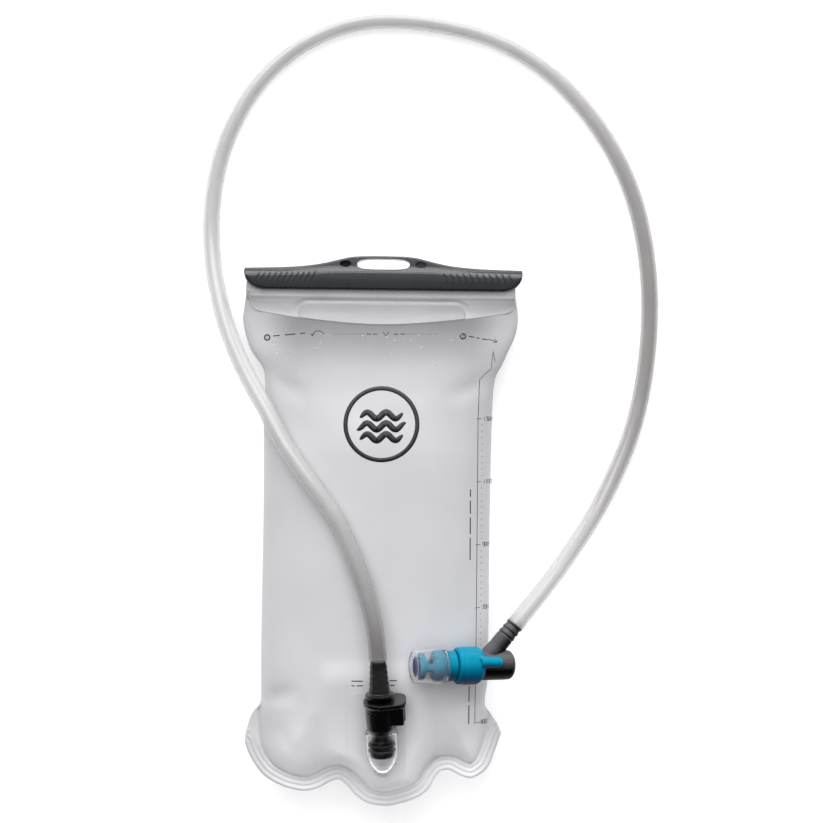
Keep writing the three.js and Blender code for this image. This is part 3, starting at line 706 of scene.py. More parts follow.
def flap_z(x, y, at_mouth, at_edge):
    """Height of a flap layer: at_mouth over the neck where it leaves the bar, at_edge at its free edge."""
    edge = flap_edge(x)
    t = smoothstep(0, 1, (NECK_Y - y) / (NECK_Y - edge))
    return front_z(x, y) + at_mouth + (at_edge - at_mouth) * t + flap_relief(x, y, y - edge)


def flap_relief(x, y, above_edge):
    """Weld line, end squares, the groove round the tab and the soft rim of the flap."""
    line = 0.45 * np.exp(-(((y - 127.9) / 0.8) ** 2))
    ends = 0.35 * smoothstep(66.3, 67.3, np.abs(x))
    groove = -0.9 * np.exp(-(((tab_inset(x, y) + 1.3) / 0.8) ** 2)) * smoothstep(0.5, 5, above_edge)
    rim = smoothstep(1, 6, above_edge) * (1 - smoothstep(10, 15, above_edge))
    return line + ends + groove + 0.25 * np.sin(x * 0.11 + 1.0) * rim


def tab_inset(x, y):
    """Distance inside the outline of the grip tab, which has round upper corners."""
    side, top = TAB_HALF - np.abs(x - TAB_MIDDLE), TAB_TOP - y
    corner = TAB_CORNER - np.hypot(TAB_CORNER - side, TAB_CORNER - top)
    return np.where((side < TAB_CORNER) & (top < TAB_CORNER), corner, np.minimum(side, top))


def film_sheet(outer_z, bend, at_mouth, at_edge):
    """Rows of points on a film's outer face: body, neck, bend over the mouth, flap."""
    x, y, u = body_grid()
    edge = from_bottom(x, y)
    z = outer_z(x, y, edge)
    points = [np.stack([x, slanted(x, y), z], axis=2)]
    mouth_x = film_x(u, np.full_like(u, FOLD_Y))
    for angle in np.linspace(-math.pi / 2, math.pi / 2, BEND_ROWS):
        row_y = slanted(mouth_x, np.full_like(u, FOLD_Y)) + bend * math.cos(angle)
        row_z = np.full_like(u, FOLD_Z + bend * math.sin(angle))
        points.append(np.stack([mouth_x, row_y, row_z], axis=1)[None])
    for t in np.linspace(0, 1, FLAP_ROWS):
        row_x = film_x(u, np.full_like(u, NECK_Y))
        row_y = NECK_Y + (flap_edge(row_x) - NECK_Y) * t
        row_z = flap_z(row_x, row_y, at_mouth, at_edge)
        points.append(np.stack([row_x, slanted(row_x, row_y), row_z], axis=1)[None])
    return np.concatenate(points, axis=0)


def thickened(sheet, thickness):
    """(points, faces) of a closed skin: a grid of points and the same grid moved in along its normals.

    thickness is one number, or one for each row.
    """
    rows, cols = sheet.shape[:2]
    across = np.gradient(sheet, axis=1)
    along = np.gradient(sheet, axis=0)
    normal = np.cross(across, along)
    normal /= np.linalg.norm(normal, axis=2, keepdims=True) + 1e-12
    inner = sheet - normal * np.reshape(thickness, (-1, 1, 1))
    points = np.concatenate([sheet.reshape(-1, 3), inner.reshape(-1, 3)])
    faces = grid_quads(rows, cols)
    shift = rows * cols
    faces += [tuple(shift + i for i in reversed(face)) for face in grid_quads(rows, cols)]
    rim = [(0, c) for c in range(cols)] + [(r, cols - 1) for r in range(1, rows)]
    rim += [(rows - 1, c) for c in range(cols - 2, -1, -1)] + [(r, 0) for r in range(rows - 2, 0, -1)]
    ids = [r * cols + c for r, c in rim]
    for here, there in zip(ids, ids[1:] + ids[:1]):
        faces.append((here, there, there + shift, here + shift))
    return points, faces


def add_reservoir():
    """Both films, each a closed skin from the bottom weld to its flap; gives back the front one."""
    per_row = COLUMNS - 1
    rows = END_ROWS + BODY_ROWS + BEND_ROWS + FLAP_ROWS - 2
    taper = FILM * (1 - 0.93 * smoothstep(rows - 9, rows, np.arange(rows + 1)))
    for side, outer_z, bend, flap, thickness in (
        ("front", front_z, FRONT_BEND - FILM / 2, FRONT_FLAP, taper),
        ("back", back_z, BACK_BEND + FILM / 2, BACK_FLAP, -taper),
    ):
        name = f"{side}_film"
        mesh = make_mesh(name, *thickened(film_sheet(outer_z, bend, *flap), thickness))
        add_piece(name, mesh, "film", "reservoir", "film", f"{side}_panel")
        mesh.materials.append(LOOKS["flap"])
        for face in list(mesh.polygons)[: 2 * rows * per_row]:
            if face.index // per_row % rows >= rows - FLAP_ROWS + 1:
                face.material_index = 1
    return bpy.data.objects["front_film"].data


def add_grip_tab():
    """The stiff tab on the flap: a thin plate with round upper corners and soft edges."""
    rows = []
    for t in spread(34):
        y = TAB_TOP - 0.02 - (TAB_TOP - FLAP_LOW_Y) * (0.5 - 0.5 * t)
        from_top = TAB_TOP - y
        cut = TAB_CORNER - math.sqrt(max(0, TAB_CORNER**2 - max(0, TAB_CORNER - from_top) ** 2))
        half = TAB_HALF - cut
        x = TAB_MIDDLE + half * spread(97)
        row_y = np.maximum(y, flap_edge(x) + 0.5)
        inset = tab_inset(x, row_y)
        round_off = TAB_THICK * (1 - np.sqrt(1 - np.clip(1 - inset / 0.9, 0, 1) ** 2))
        z = flap_z(x, row_y, *BACK_FLAP) + TAB_THICK + 0.05 - round_off
        rows.append(np.stack([x, slanted(x, row_y), z], axis=1))
    mesh = make_mesh("grip_tab", *thickened(np.array(rows), TAB_THICK))
    add_piece("grip_tab", mesh, "tab", "reservoir", "tab_film", "mouth_grip_tab", 60)


front_film = add_reservoir()
front_surface = BVHTree.FromPolygons(
    [vertex.co for vertex in front_film.vertices], [face.vertices[:] for face in front_film.polygons])
add_grip_tab()

# ---------------------------------------------------------------- prints on the film

DIGITS = {  # strokes on a grid one wide and two high
    "0": [(0, 0), (1, 0), (1, 2), (0, 2), (0, 0)], "1": [(0.5, 0), (0.5, 2)],
    "2": [(0, 1.6), (0.3, 2), (1, 2), (1, 1.2), (0, 0), (1, 0)],
    "3": [(0, 2), (1, 2), (0.5, 1.1), (1, 0.9), (1, 0), (0, 0)],
    "5": [(1, 2), (0, 2), (0, 1.1), (1, 1.1), (1, 0), (0, 0)], "7": [(0, 2), (1, 2), (0.4, 0)],
    "9": [(1, 1), (0, 1), (0, 2), (1, 2), (1, 0), (0, 0)],
}
PRINT_LIFT, PRINT_THICK = 0.08, 0.07
ABOVE_ALL = 0.2  # metres, higher than the bladder
UPRIGHT = Matrix.Rotation(math.pi / 2, 4, "X")  # turns Y up to Z
BADGE = {"x": -0.2, "y": 58.2, "outer": 20.3, "inner": 18.0}
WORDS = [  # (start, end, lengths) of the rows of dashes that stand for words
    ((-60, 106.4), (-42.5, 108), (3.6, 5.8, 2.6)), ((47.4, 106.2), (57.5, 104.2), (3, 1.6, 3)),
    ((-16, -78.4), (-9.2, -78.4), (6,)), ((-16, -80.9), (-10, -80.9), (1.6, 3.4)),
    ((4, -78.1), (8.6, -78.1), (4,)), ((4, -80.6), (8.4, -80.6), (3,)),
]


def on_film(points, lift=PRINT_LIFT):
    """Plan points laid on the front film."""
    laid = []
    for x, y in points:
        place = front_surface.ray_cast(Vector((x * MM, y * MM, ABOVE_ALL)), Vector((0, 0, -1)))[0]
        height = place.z / MM if place else float(front_z(np.array([float(x)]), np.array([float(y)]))[0])
        laid.append((x, y, height + lift))
    return np.array(laid)


def stroke(path, width, closed=False):
    """(points, faces) of a thin line of ink along a plan path."""
    path = np.array(path, dtype=float)
    if closed:
        ahead = np.roll(path, -1, axis=0) - np.roll(path, 1, axis=0)
    else:
        ahead = np.gradient(path, axis=0)
    ahead /= np.linalg.norm(ahead, axis=1, keepdims=True) + 1e-9
    side = np.stack([-ahead[:, 1], ahead[:, 0]], axis=1) * np.reshape(width, (-1, 1)) / 2
    left, right = on_film(path + side), on_film(path - side)
    drop = np.array((0, 0, PRINT_THICK))
    sections = [[tuple(a), tuple(b), tuple(b - drop), tuple(a - drop)] for a, b in zip(left, right)]
    if closed:
        sections.append(sections[0])
    return loft(sections, caps=not closed)


def dot(x, y, radius, count=8):
    """(points, faces) of a small round spot of ink."""
    outline = oval(x, y, radius, radius, count)
    return loft([on_film(outline, PRINT_LIFT - PRINT_THICK).tolist(), on_film(outline).tolist()])


def digit_strokes(text, x, y, size):
    """Strokes of a number whose lower left corner is at x, y; size is the height of the digits."""
    parts = []
    for place, digit in enumerate(text):
        ends = [(x + size * (0.62 * place + 0.45 * a), y + size * b / 2) for a, b in DIGITS[digit]]
        for start, end in zip(ends, ends[1:]):
            parts.append(stroke([start, end], size * 0.13))
    return parts


def finely(points, step=1.5):
    """A plan path with extra points on it."""
    fine = []
    for (x0, y0), (x1, y1) in zip(points, points[1:]):
        count = max(1, int(math.hypot(x1 - x0, y1 - y0) / step))
        fine += [(x0 + (x1 - x0) * k / count, y0 + (y1 - y0) * k / count) for k in range(count)]
    return fine + [points[-1]]


def badge_print():
    """A ring with three generic waves in it."""
    x, y, outer, inner = (BADGE[key] for key in ("x", "y", "outer", "inner"))
    middle = 0.5 * (outer + inner)
    parts = [stroke(oval(x, y, middle, middle, 120), outer - inner, closed=True)]
    for level, half in ((4.6, 11.5), (-1.2, 13.2), (-7.0, 11.5)):
        across = np.linspace(-half, half, 60)
        wave = [(x + a, y + level + 1.7 * math.sin(a * 0.62)) for a in across]
        taper = 3.4 * np.sqrt(np.clip(1 - (across / half) ** 4, 0.01, 1))
        parts.append(stroke(wave, taper))
    return parts


def dashes(start, end, lengths):
    """Short plain bars along a straight line, where the real object has words."""
    (x0, y0), (x1, y1) = start, end
    whole = math.hypot(x1 - x0, y1 - y0)
    gap = (whole - sum(lengths)) / max(1, len(lengths) - 1)
    parts, at = [], 0.0
    for length in lengths:
        ends = [(x0 + (x1 - x0) * d / whole, y0 + (y1 - y0) * d / whole) for d in (at, at + length)]
        parts.append(stroke(finely(ends), 0.55))
        at += length + gap
    return parts


def scale_print():
    """The volume scale at the right: a line, ticks with numbers, dots between them, and dashes beside it."""
    line = [(52.8, 82), (51.8, 61), (51.2, -7), (50.6, -70), (50.2, -104), (54, -104)]
    parts = [stroke(finely(line), 0.3)]
    tail = [(61.5, 92), (60.6, 98), (59.8, 92.5), (59.2, 88), (56, 85.5), (52.8, 82)]
    parts.append(stroke(finely(tail), 0.28))
    for number, y in (("1300", 61), ("1100", 27), ("900", -7), ("700", -41), ("300", -104)):
        x = float(through([(-104, 50.2), (-7, 51.2), (61, 51.8)], y))
        parts.append(stroke([(x - 0.6, y), (x + 2.0, y)], 0.3))
        parts += digit_strokes(number, x + 3.2, y - 1, 2.1)
        for k in range(1, 10 if y > -100 else 1):
            parts.append(dot(x + 2.2, y - 3.4 * k, 0.26))
    parts += dashes((47.6, 23), (47.4, -15), (4, 7, 9, 12))
    parts += dashes((47, -83), (46.8, -104), (9, 10))
    return parts


def fold_print():
    """Two numbered steps with arrows, the dotted fill line, and the dashes that stand for words."""
    parts = []
    for digit, x, y in (("1", -63.4, 105.6), ("2", 44.1, 106.2)):
        parts.append(stroke(oval(x, y, 1.45, 1.45, 24), 0.75, closed=True))
        parts += digit_strokes(digit, x - 0.35, y - 0.75, 1.5)
    for start, end, lengths in WORDS:
        parts += dashes(start, end, lengths)
    over = [(-38.5 + 3.2 * (1 - math.cos(a)), 106.6 + 2.6 * math.sin(a)) for a in np.linspace(0, 2.9, 16)]
    parts += [stroke(over, 0.35), stroke([(-39.6, 107.9), (-38.5, 106.3), (-37.2, 107.7)], 0.35)]
    slide = finely([(57.8, 104.6), (60.2, 104), (62.5, 103.2)])
    parts += [stroke(slide, 0.35), stroke([(61.6, 104.9), (62.9, 103.1), (60.7, 102.7)], 0.35)]
    for k in range(12):
        parts += [dot(start + 1.45 * k, 107.4, 0.24) for start in (-26.5, 13.8)]
    for x in (-7.5, -4, 7.5, 11):
        parts.append(stroke([(x - 1.3, 107.4), (x + 1.3, 107.4)], 0.4))
    parts.append(stroke([(0.2, 108.6), (1.8, 106.2), (3.4, 108.6)], 0.45))
    return parts


def add_prints():
    for make_parts in (badge_print, scale_print, fold_print):
        name = make_parts.__name__
        add_piece(name, merged_mesh(name, make_parts()), "ink", "reservoir", "black_plastic")


def add_droplets():
    """Small drops of water that cling to the film under the flap."""
    chance = np.random.default_rng(7)
    parts = []
    for _ in range(70):
        x, y = chance.uniform(-62, 62), 108 - abs(chance.normal(0, 13))
        radius = 0.2 + 0.6 * chance.random() ** 2
        base = on_film([(x, y)], 0.02)[0]
        dome = lathe([(0, 0), (radius, 0), (0.8 * radius, 0.4 * radius), (0, 0.55 * radius)], 12)
        parts.append(moved(dome, Matrix.Translation(tuple(base)) @ UPRIGHT))
    add_piece("droplets", merged_mesh("droplets", parts), "droplet", "reservoir", "film", smooth_angle=60)


add_prints()
add_droplets()

# ---------------------------------------------------------------- slide-seal bar

BAR_LEFT, BAR_RIGHT = -76.0, 76.8
BAR_BACK_Z, BAR_FACE_Z, RIM_Z = 12.7, 25.3, 22.3
CHANNEL_LOW_Z, CHANNEL_HIGH_Z, CHANNEL_TOP_Y = 14.5, 23.3, 142.6
LIP_WIDTH, LIP_HEIGHT = 2.8, 1.1
BAR_TOP = [  # (distance from the middle, y of the hump's outline)
    (0, 150.6), (10, 150.5), (17, 150), (24, 148.5), (31, 146.8), (38, 145.5), (46, 144.6), (55, 144),
    (77, 143.4),
]
BODY_TOP = [(0, 142.9), (15, 142.9), (26, 142.8), (40, 141.9), (55, 141.3), (77, 141)]
SLOT = {"left": -14.1, "right": 14.9, "low": 142.9, "high": 148.9}
HOLES = [(-20.4, 146.0, 3.1, 1.8, 8.4), (21.1, 145.7, 3.1, 1.7, 2.0)]  # x, y, half length, half width, depth
SLANTS = {"count": 11, "first": -70.4, "pitch": 3.03, "low": 134.8, "high": 142.2, "lean": 3.7}
CHEVRONS = {"count": 11, "first": 35.6, "pitch": 3.54, "middle": 137.2, "arm": 3.6, "back": 2.1}
GROOVE_WIDTH, GROOVE_DEPTH = 0.75, 0.55


def bar_section(x):
    """The bar's C-shaped section at x, as (y, z) points: face, rim, back, and the channel with its lips."""
    reach = abs(x)
    end = (x - BAR_LEFT) if x < 0 else (BAR_RIGHT - x)
    turn = np.clip(1 - end / 11.5, 0, 1)
    low = 131.4 + 8.6 * (1 - math.sqrt(1 - turn**2))
    body, top = float(through(BODY_TOP, reach)), float(through(BAR_TOP, reach))
    lip = min(low + LIP_WIDTH, CHANNEL_TOP_Y - 0.5)
    mouth_low, mouth_high = CHANNEL_LOW_Z + LIP_HEIGHT, CHANNEL_HIGH_Z - LIP_HEIGHT
    profile = [
        (low, BAR_FACE_Z - 1.3), (low + 0.9, BAR_FACE_Z - 0.35), (0.5 * (low + body), BAR_FACE_Z),
        (body - 1.5, BAR_FACE_Z - 0.1), (body + 1.3, RIM_Z), (top - 0.4, RIM_Z - 0.1), (top, RIM_Z - 1.6),
        (top, BAR_BACK_Z + 1.6), (top - 0.8, BAR_BACK_Z), (low + 0.5, BAR_BACK_Z), (low, BAR_BACK_Z + 0.6),
        (low, mouth_low), (lip, mouth_low), (lip, CHANNEL_LOW_Z), (CHANNEL_TOP_Y, CHANNEL_LOW_Z),
        (CHANNEL_TOP_Y, CHANNEL_HIGH_Z), (lip, CHANNEL_HIGH_Z), (lip, mouth_high), (low, mouth_high),
    ]
    return fillet(profile, 0.8, 3, closed=True)


def prism(outline, low_z, high_z):
    """(points, faces) of an upright prism over a plan outline."""
    return loft([[(x, y, z) for x, y in outline] for z in (low_z, high_z)])


def groove(start, end):
    """A prism that cuts a shallow straight groove into the bar's face."""
    start, end = Vector(start), Vector(end)
    side = (end - start).normalized().orthogonal() * GROOVE_WIDTH / 2
    outline = [start - side, end - side, end + side, start + side]
    return prism([tuple(p) for p in outline], BAR_FACE_Z - 0.2 - GROOVE_DEPTH, BAR_FACE_Z + 2)


def bar_cuts():
    left, right, low, high = SLOT["left"], SLOT["right"], SLOT["low"], SLOT["high"]
    slot = []
    for c, s in oval(0, 0, 1, 1, 72):
        x = 0.5 * (left + right) + 0.5 * (right - left) * math.copysign(abs(c) ** 0.5, c)
        slot.append((x, 0.5 * (low + high) + 0.5 * (high - low) * math.copysign(abs(s) ** 0.8, s)))
    cuts = [prism(slot, 0, 40)]
    for x, y, half_length, half_width, depth in HOLES:
        cuts.append(prism(oval(x, y, half_length, half_width), RIM_Z - depth, 40))
    for i in range(SLANTS["count"]):
        x = SLANTS["first"] + SLANTS["pitch"] * i
        cuts.append(groove((x, SLANTS["low"]), (x + SLANTS["lean"], SLANTS["high"])))
    for i in range(CHEVRONS["count"]):
        x = CHEVRONS["first"] + CHEVRONS["pitch"] * i
        for side in (-1, 1):
            tip = (x, CHEVRONS["middle"] + side * GROOVE_WIDTH * 0.35)
            cuts.append(groove(tip, (x - CHEVRONS["back"], CHEVRONS["middle"] + side * CHEVRONS["arm"])))
    return cuts


def add_bar():
    ends = [0, 0.15, 0.6, 1.5, 3, 5, 7.5, 10]
    xs = [BAR_LEFT + e for e in ends] + list(np.linspace(BAR_LEFT + 12, BAR_RIGHT - 12, 90))
    xs += [BAR_RIGHT - e for e in reversed(ends)]
    body = loft([[(x, y, z) for y, z in bar_section(x)] for x in xs])
    blank = linked("blank", make_mesh("blank", *body))
    knives = [linked("knife", make_mesh("knife", *part)) for part in bar_cuts()]
    for knife in knives:
        cut_away(blank, knife)
    mesh = evaluated(blank)
    for scratch in knives + [blank]:
        bpy.data.objects.remove(scratch)
    for vertex in mesh.vertices:
        vertex.co.y += NECK_SLANT * vertex.co.x
    add_piece("seal_bar", mesh, "bar", "slider", "bar_plastic", "slide_seal_bar", 32)


add_bar()

# ---------------------------------------------------------------- hose

HOSE_OUTER, HOSE_BORE = 4.75, 3.2
PLUG_BARBS, VALVE_BARBS = 17.2, 9.8  # how much of the hose is stretched over each barbed stem
VALVE_END, VALVE_MOUTH = (69.8, -70.4, 50.0), (13.9, -69.1, 67.0)
VALVE_SQUEEZE = 0.95  # true length along the valve for each unit in the profiles below
BRANCH_START, BRANCH_ANGLE = 17.4, math.radians(49.5)

port_frame = Matrix.Translation(COUPLER_AT) @ Matrix.Rotation(PORT_TILT, 4, "X")
coupler_frame = port_frame @ Matrix.Rotation(COUPLER_LEAN, 4, "Z")


def valve_matrix():
    """The bite valve's frame: Y along the barrel to the mouth, Z up."""
    along = (Vector(VALVE_MOUTH) - Vector(VALVE_END)).normalized()
    up = (Vector((0, 0, 1)) - along * along.z).normalized()
    side = along.cross(up)
    turn = Matrix((side, along, up)).transposed().to_4x4()
    return Matrix.Translation(VALVE_END) @ turn


valve_frame = valve_matrix() @ Matrix.Diagonal((1, VALVE_SQUEEZE, 1, 1))
branch_frame = valve_matrix() @ Matrix.Translation((0, BRANCH_START, 0)) @ Matrix.Rotation(
    -(math.pi - BRANCH_ANGLE), 4, "Z")


def between(first, last, at, low, high):
    """The value at a place on the straight line that is first at low and last at high."""
    return ((high - at) * first + (at - low) * last) / (high - low)


def smooth_path(points, spacing):
    """Points a given spacing apart on a centripetal spline through the given points."""
    p = [np.array(q, dtype=float) for q in points]
    p = [2 * p[0] - p[1]] + p + [2 * p[-1] - p[-2]]
    fine = []
    for i in range(1, len(p) - 2):
        t = [0.0]
        for a, b in ((i - 1, i), (i, i + 1), (i + 1, i + 2)):
            t.append(t[-1] + np.linalg.norm(p[b] - p[a]) ** 0.5)
        for s in np.linspace(t[1], t[2], 24, endpoint=False):
            a = [between(p[i - 1 + k], p[i + k], s, t[k], t[k + 1]) for k in range(3)]
            b = [between(a[k], a[k + 1], s, t[k], t[k + 2]) for k in range(2)]
            fine.append(between(b[0], b[1], s, t[1], t[2]))
    fine.append(p[-2])
    fine = np.array(fine)
    for _ in range(60):
        fine[3:-3] += 0.5 * (0.5 * (fine[2:-4] + fine[4:-2]) - fine[3:-3])
    travelled = np.concatenate([[0], np.cumsum(np.linalg.norm(np.diff(fine, axis=0), axis=1))])
    at = np.linspace(0, travelled[-1], int(travelled[-1] / spacing) + 1)
    return np.stack([np.interp(at, travelled, fine[:, k]) for k in range(3)], axis=1), at


def tube_rings(path, radii, sides):
    """Loops of points round a path, without twist."""
    tangents = np.gradient(path, axis=0)
    tangents /= np.linalg.norm(tangents, axis=1, keepdims=True)
    side = np.cross(tangents[0], (0, 0, 1.0))
    side /= np.linalg.norm(side)
    rings = []
    for point, tangent, radius in zip(path, tangents, radii):
        side = side - tangent * (side @ tangent)
        side /= np.linalg.norm(side)
        up = np.cross(side, tangent)
        angles = np.linspace(0, 2 * math.pi, sides, endpoint=False)
        rings.append(point + radius * (np.cos(angles)[:, None] * side + np.sin(angles)[:, None] * up))
    return rings


def hollow_tube(path, outer, inner, sides):
    """(points, faces) of a tube with an open bore."""
    shells = tube_rings(path, outer, sides) + tube_rings(path, inner, sides)[::-1]
    shells.append(shells[0])
    return loft(shells, caps=False)


def add_hose():
    start = coupler_frame @ Vector((0, 3.4, 0))
    end = branch_frame @ Vector((0, 20.4, 0))
    path, at = smooth_path([tuple(start), *HOSE_ROUTE, tuple(end)], 2.5)
    total = at[-1]
    outer = HOSE_OUTER + 1.45 * (1 - smoothstep(-3, 22, at)) + 0.75 * smoothstep(total - 14, total, at)
    bore = HOSE_BORE + 2.4 * (1 - smoothstep(4, 22, at)) + 1.5 * smoothstep(total - 14, total - 6, at)
    mesh = make_mesh("drinking_hose", *hollow_tube(path, outer, bore, 28))
    hose = add_piece("drinking_hose", mesh, "hose", "hose_set", "hose_clear", "hose", 60)
    first, last = Vector(path[0]), Vector(path[-1])

    def on_barbs(place):
        return (place - first).length < PLUG_BARBS or (place - last).length < VALVE_BARBS

    repaint(hose, "stretched", on_barbs)
    return hose, path


hose, hose_path = add_hose()

# ---------------------------------------------------------------- port and coupler


def rounded_outline(half_x, half_y, radius, steps=10):
    """A rounded rectangle round the origin, as (x, y) points."""
    outline = []
    for cx, cy, start in ((1, 1, 0), (-1, 1, 90), (-1, -1, 180), (1, -1, 270)):
        for k in range(steps + 1):
            angle = math.radians(start + 90 * k / steps)
            x = cx * (half_x - radius) + radius * math.cos(angle)
            y = cy * (half_y - radius) + radius * math.sin(angle)
            outline.append((x, y))
    return outline


def slab(half_x, half_y, radius, low, high, edge=0.5, low_edge=None):
    """(points, faces) of a plate with round corners and rounded edges; Z is its thickness."""
    low_edge = edge if low_edge is None else low_edge
    turns = [math.pi / 2 * k / 4 for k in range(5)]
    levels = [(low + low_edge * (1 - math.sin(a)), low_edge * (1 - math.cos(a))) for a in reversed(turns)]
    levels += [(high - edge * (1 - math.sin(a)), edge * (1 - math.cos(a))) for a in turns]
    sections = []
    for z, inset in levels:
        outline = rounded_outline(half_x - inset, half_y - inset, max(radius - inset, 0.05))
        sections.append([(x, y, z) for x, y in outline])
    return loft(sections)


def box(size_x, size_y, size_z, x=0, y=0, z=0, radius=0.4):
    """(points, faces) of a box with rounded edges."""
    part = slab(size_x / 2, size_y / 2, radius, -size_z / 2, size_z / 2, min(radius, size_z / 2.1))
    return moved(part, Matrix.Translation((x, y, z)))


def turn_z(angle):
    return Matrix.Rotation(angle, 4, "Z")


FLANGE_AT, FLANGE_HALF = (-2.4, -25.0, -FLANGE_DROP), (16.2, 25.0)
FLANGE_TOP, STEM_FROM = -5.4, 3.3  # below this Z the port, and past this Y the plug, have their second look


def add_port():
    """The clear moulding welded into the film: flange, raised pedestal and the bullet-shaped socket."""
    flange = moved(slab(*FLANGE_HALF, 8.5, 0.05, 1.6, 0.8, 0.1), Matrix.Translation(FLANGE_AT))
    pedestal_at = Matrix.Translation((0.1, -25.6, -FLANGE_DROP)) @ turn_z(COUPLER_LEAN * 0.6)
    pedestal = moved(slab(10.5, 18.4, 9.5, 0.5, 4.6, 1.6, 0.1), pedestal_at)
    lean = turn_z(COUPLER_LEAN)
    socket = moved(lathe([
        (0, -42.6), (2.6, -42.2), (4.7, -40.3), (6.7, -37), (8.1, -33), (8.6, -29.5), (8.7, -17.3),
        (0, -17.3),
    ], 56, 1.0), lean)
    cavity = moved(lathe([
        (0, -39.6), (2.2, -39.1), (4.2, -37.3), (6, -34.4), (7.2, -31.4), (7.5, -28.5), (7.5, -15), (0, -15),
    ], 56), lean)
    outlet = moved(rod(3.4, -14, 0, 32), Matrix.Translation((1.4, -36, 0)) @ UPRIGHT)
    port = add_fused("port_moulding", [flange, pedestal, socket], [cavity, outlet], port_frame, 0.4, 3,
                     "port", "reservoir", "clear_moulding", "port_fitting")
    to_port = port_frame.inverted()
    repaint(port, "flange", lambda place: (to_port @ place).z < FLANGE_TOP)


def keyhole(radius, reach, half_width, corner, steps=40):
    """Outline in X and Z: a circle with a rounded tongue that reaches out along +X."""
    outline = []
    for k in range(steps):
        angle = 2 * math.pi * k / steps
        direction = (math.cos(angle), math.sin(angle))
        r, tongue = radius, 0.0
        if direction[0] > 0:
            tongue = ((direction[0] / reach) ** 6 + abs(direction[1] / half_width) ** 6) ** (-1 / 6)
        if tongue > radius * 0.7:
            r = (radius**corner + tongue**corner) ** (1 / corner)
        outline.append((r * direction[0], r * direction[1]))
    return outline


def add_coupler():
    nose = lathe([
        (0, -31.4), (5.3, -31.4), (6.5, -30.6), (6.6, -29.4), (6.0, -28.7), (5.9, -26.6), (6.6, -26.3),
        (6.6, -25.3), (5.9, -25), (5.9, -23.4), (6.3, -22.9), (5.3, -21.8), (5.2, -20.2), (6.0, -18.4),
        (7.0, -16.5), (0, -16),
    ], 56, 0.25, 2)
    barrel = lathe([(0, -17.2), (6.5, -17.2), (7.6, -15.8), (7.9, -11), (8, -2), (0, -2)], 56, 0.8)
    housing = box(8.2, 11.8, 11.6, 8.4, -7.6, 0, 1.2)
    web = box(5.4, 3.4, 7.5, 5.4, -13.7, 0, 1.4)
    plate = []
    for rise, inset in ((-3.3, 0.7), (-2.8, 0.1), (-2.1, 0.0), (-1.1, 0.0), (-0.6, 0.15), (-0.3, 0.6)):
        outline = keyhole(8.9 - inset, 13.7 - inset, 8.2 - inset, 6)
        slope = 0.12 if rise > -2 else 0.06
        plate.append([(x, rise - slope * z, z) for x, z in outline])
    bore = lathe([
        (0, -33), (2.6, -33), (2.6, -29), (4.5, -29), (4.5, -13.7), (3, -13.7), (3, -11.7), (3.9, -11.7),
        (3.9, 3), (0, 3),
    ], 40)
    latch = rod(7.1, -6.8, -4.2)
    latch_slot = box(14, 2.6, 8.6, 5.8, -5.5, 0, 0.2)
    button_well = box(5.6, 9.8, 8.2, 10.1, -7.4, 0, 0.6)
    slit = moved(box(8, 0.5, 6, -5.6, -6.4, 7.4, 0.1), turn_z(-0.07))
    add_fused("coupler_shell", [nose, barrel, housing, web, loft(plate)],
              [bore, latch, latch_slot, button_well, slit], coupler_frame, 0.24, 3,
              "black", "reservoir", "black_plastic", "coupler_body")


def add_button():
    """The release button, one piece with the latch plate round the plug."""
    pad = box(3, 8.8, 7.2, 11.5, -7.4, 0, 0.7)
    ribs_on_pad = [box(0.8, 0.8, 6, 12.9, -10.6 + 1.6 * k, 0, 0.3) for k in range(5)]
    latch_plate = rod(5.2, -6.4, -4.6)
    shank = box(8, 1.8, 7.2, 6.5, -5.5, 0, 0.3)
    eye = moved(rod(4.05, -9.5, -1.5), Matrix.Translation((0.5, 0, 0)) @ Matrix.Diagonal((1.18, 1, 1, 1)))
    add_fused("latch_button", [pad, latch_plate, shank] + ribs_on_pad, [eye], coupler_frame, 0.2, 2,
              "black", "button", "black_plastic", "release_button")


def barbs(first, pitch, crests, depth):
    """Profile points of barbs that lean back along +Y, one for each crest radius."""
    points = []
    for k, crest in enumerate(crests):
        y = first + pitch * k
        points += [(crest - depth, y), (crest, y + 0.25), (crest, y + 0.6), (crest - depth, y + 0.92 * pitch)]
    return points


def add_plug():
    profile = [
        (0, -11.2), (3, -11.2), (3.5, -10.4), (3.5, -9.5), (2.7, -9.5), (2.7, -8.1), (3.5, -8.1), (3.5, 0.35),
        (6.4, 0.35), (6.5, 0.9), (7.3, 1.0), (7.75, 1.6), (7.75, 2.5), (7.2, 3.1), (5.6, 3.2),
    ]
    profile += barbs(4.4, 3.05, (5.6, 5.35, 5.1, 4.9, 4.7), 0.6) + [(4.3, 20), (3.8, 20.5), (0, 20.5)]
    body, bore = lathe(profile, 56, 0.2, 2), rod(1.8, -18, 22, 32)
    plug = add_fused("barbed_plug", [body], [bore], coupler_frame, 0.2, 2,
                     "black", "hose_set", "black_plastic", "hose_plug")
    to_coupler = coupler_frame.inverted()
    repaint(plug, "stem", lambda place: (to_coupler @ place).y > STEM_FROM)
    return plug


add_port()
add_coupler()
add_button()
barbed_plug = add_plug()

# ---------------------------------------------------------------- bite valve


def on_branch(part):
    turn = Matrix.Translation((0, BRANCH_START, 0)) @ turn_z(-(math.pi - BRANCH_ANGLE))
    return moved(part, Matrix.Diagonal((1, 1 / VALVE_SQUEEZE, 1, 1)) @ turn)


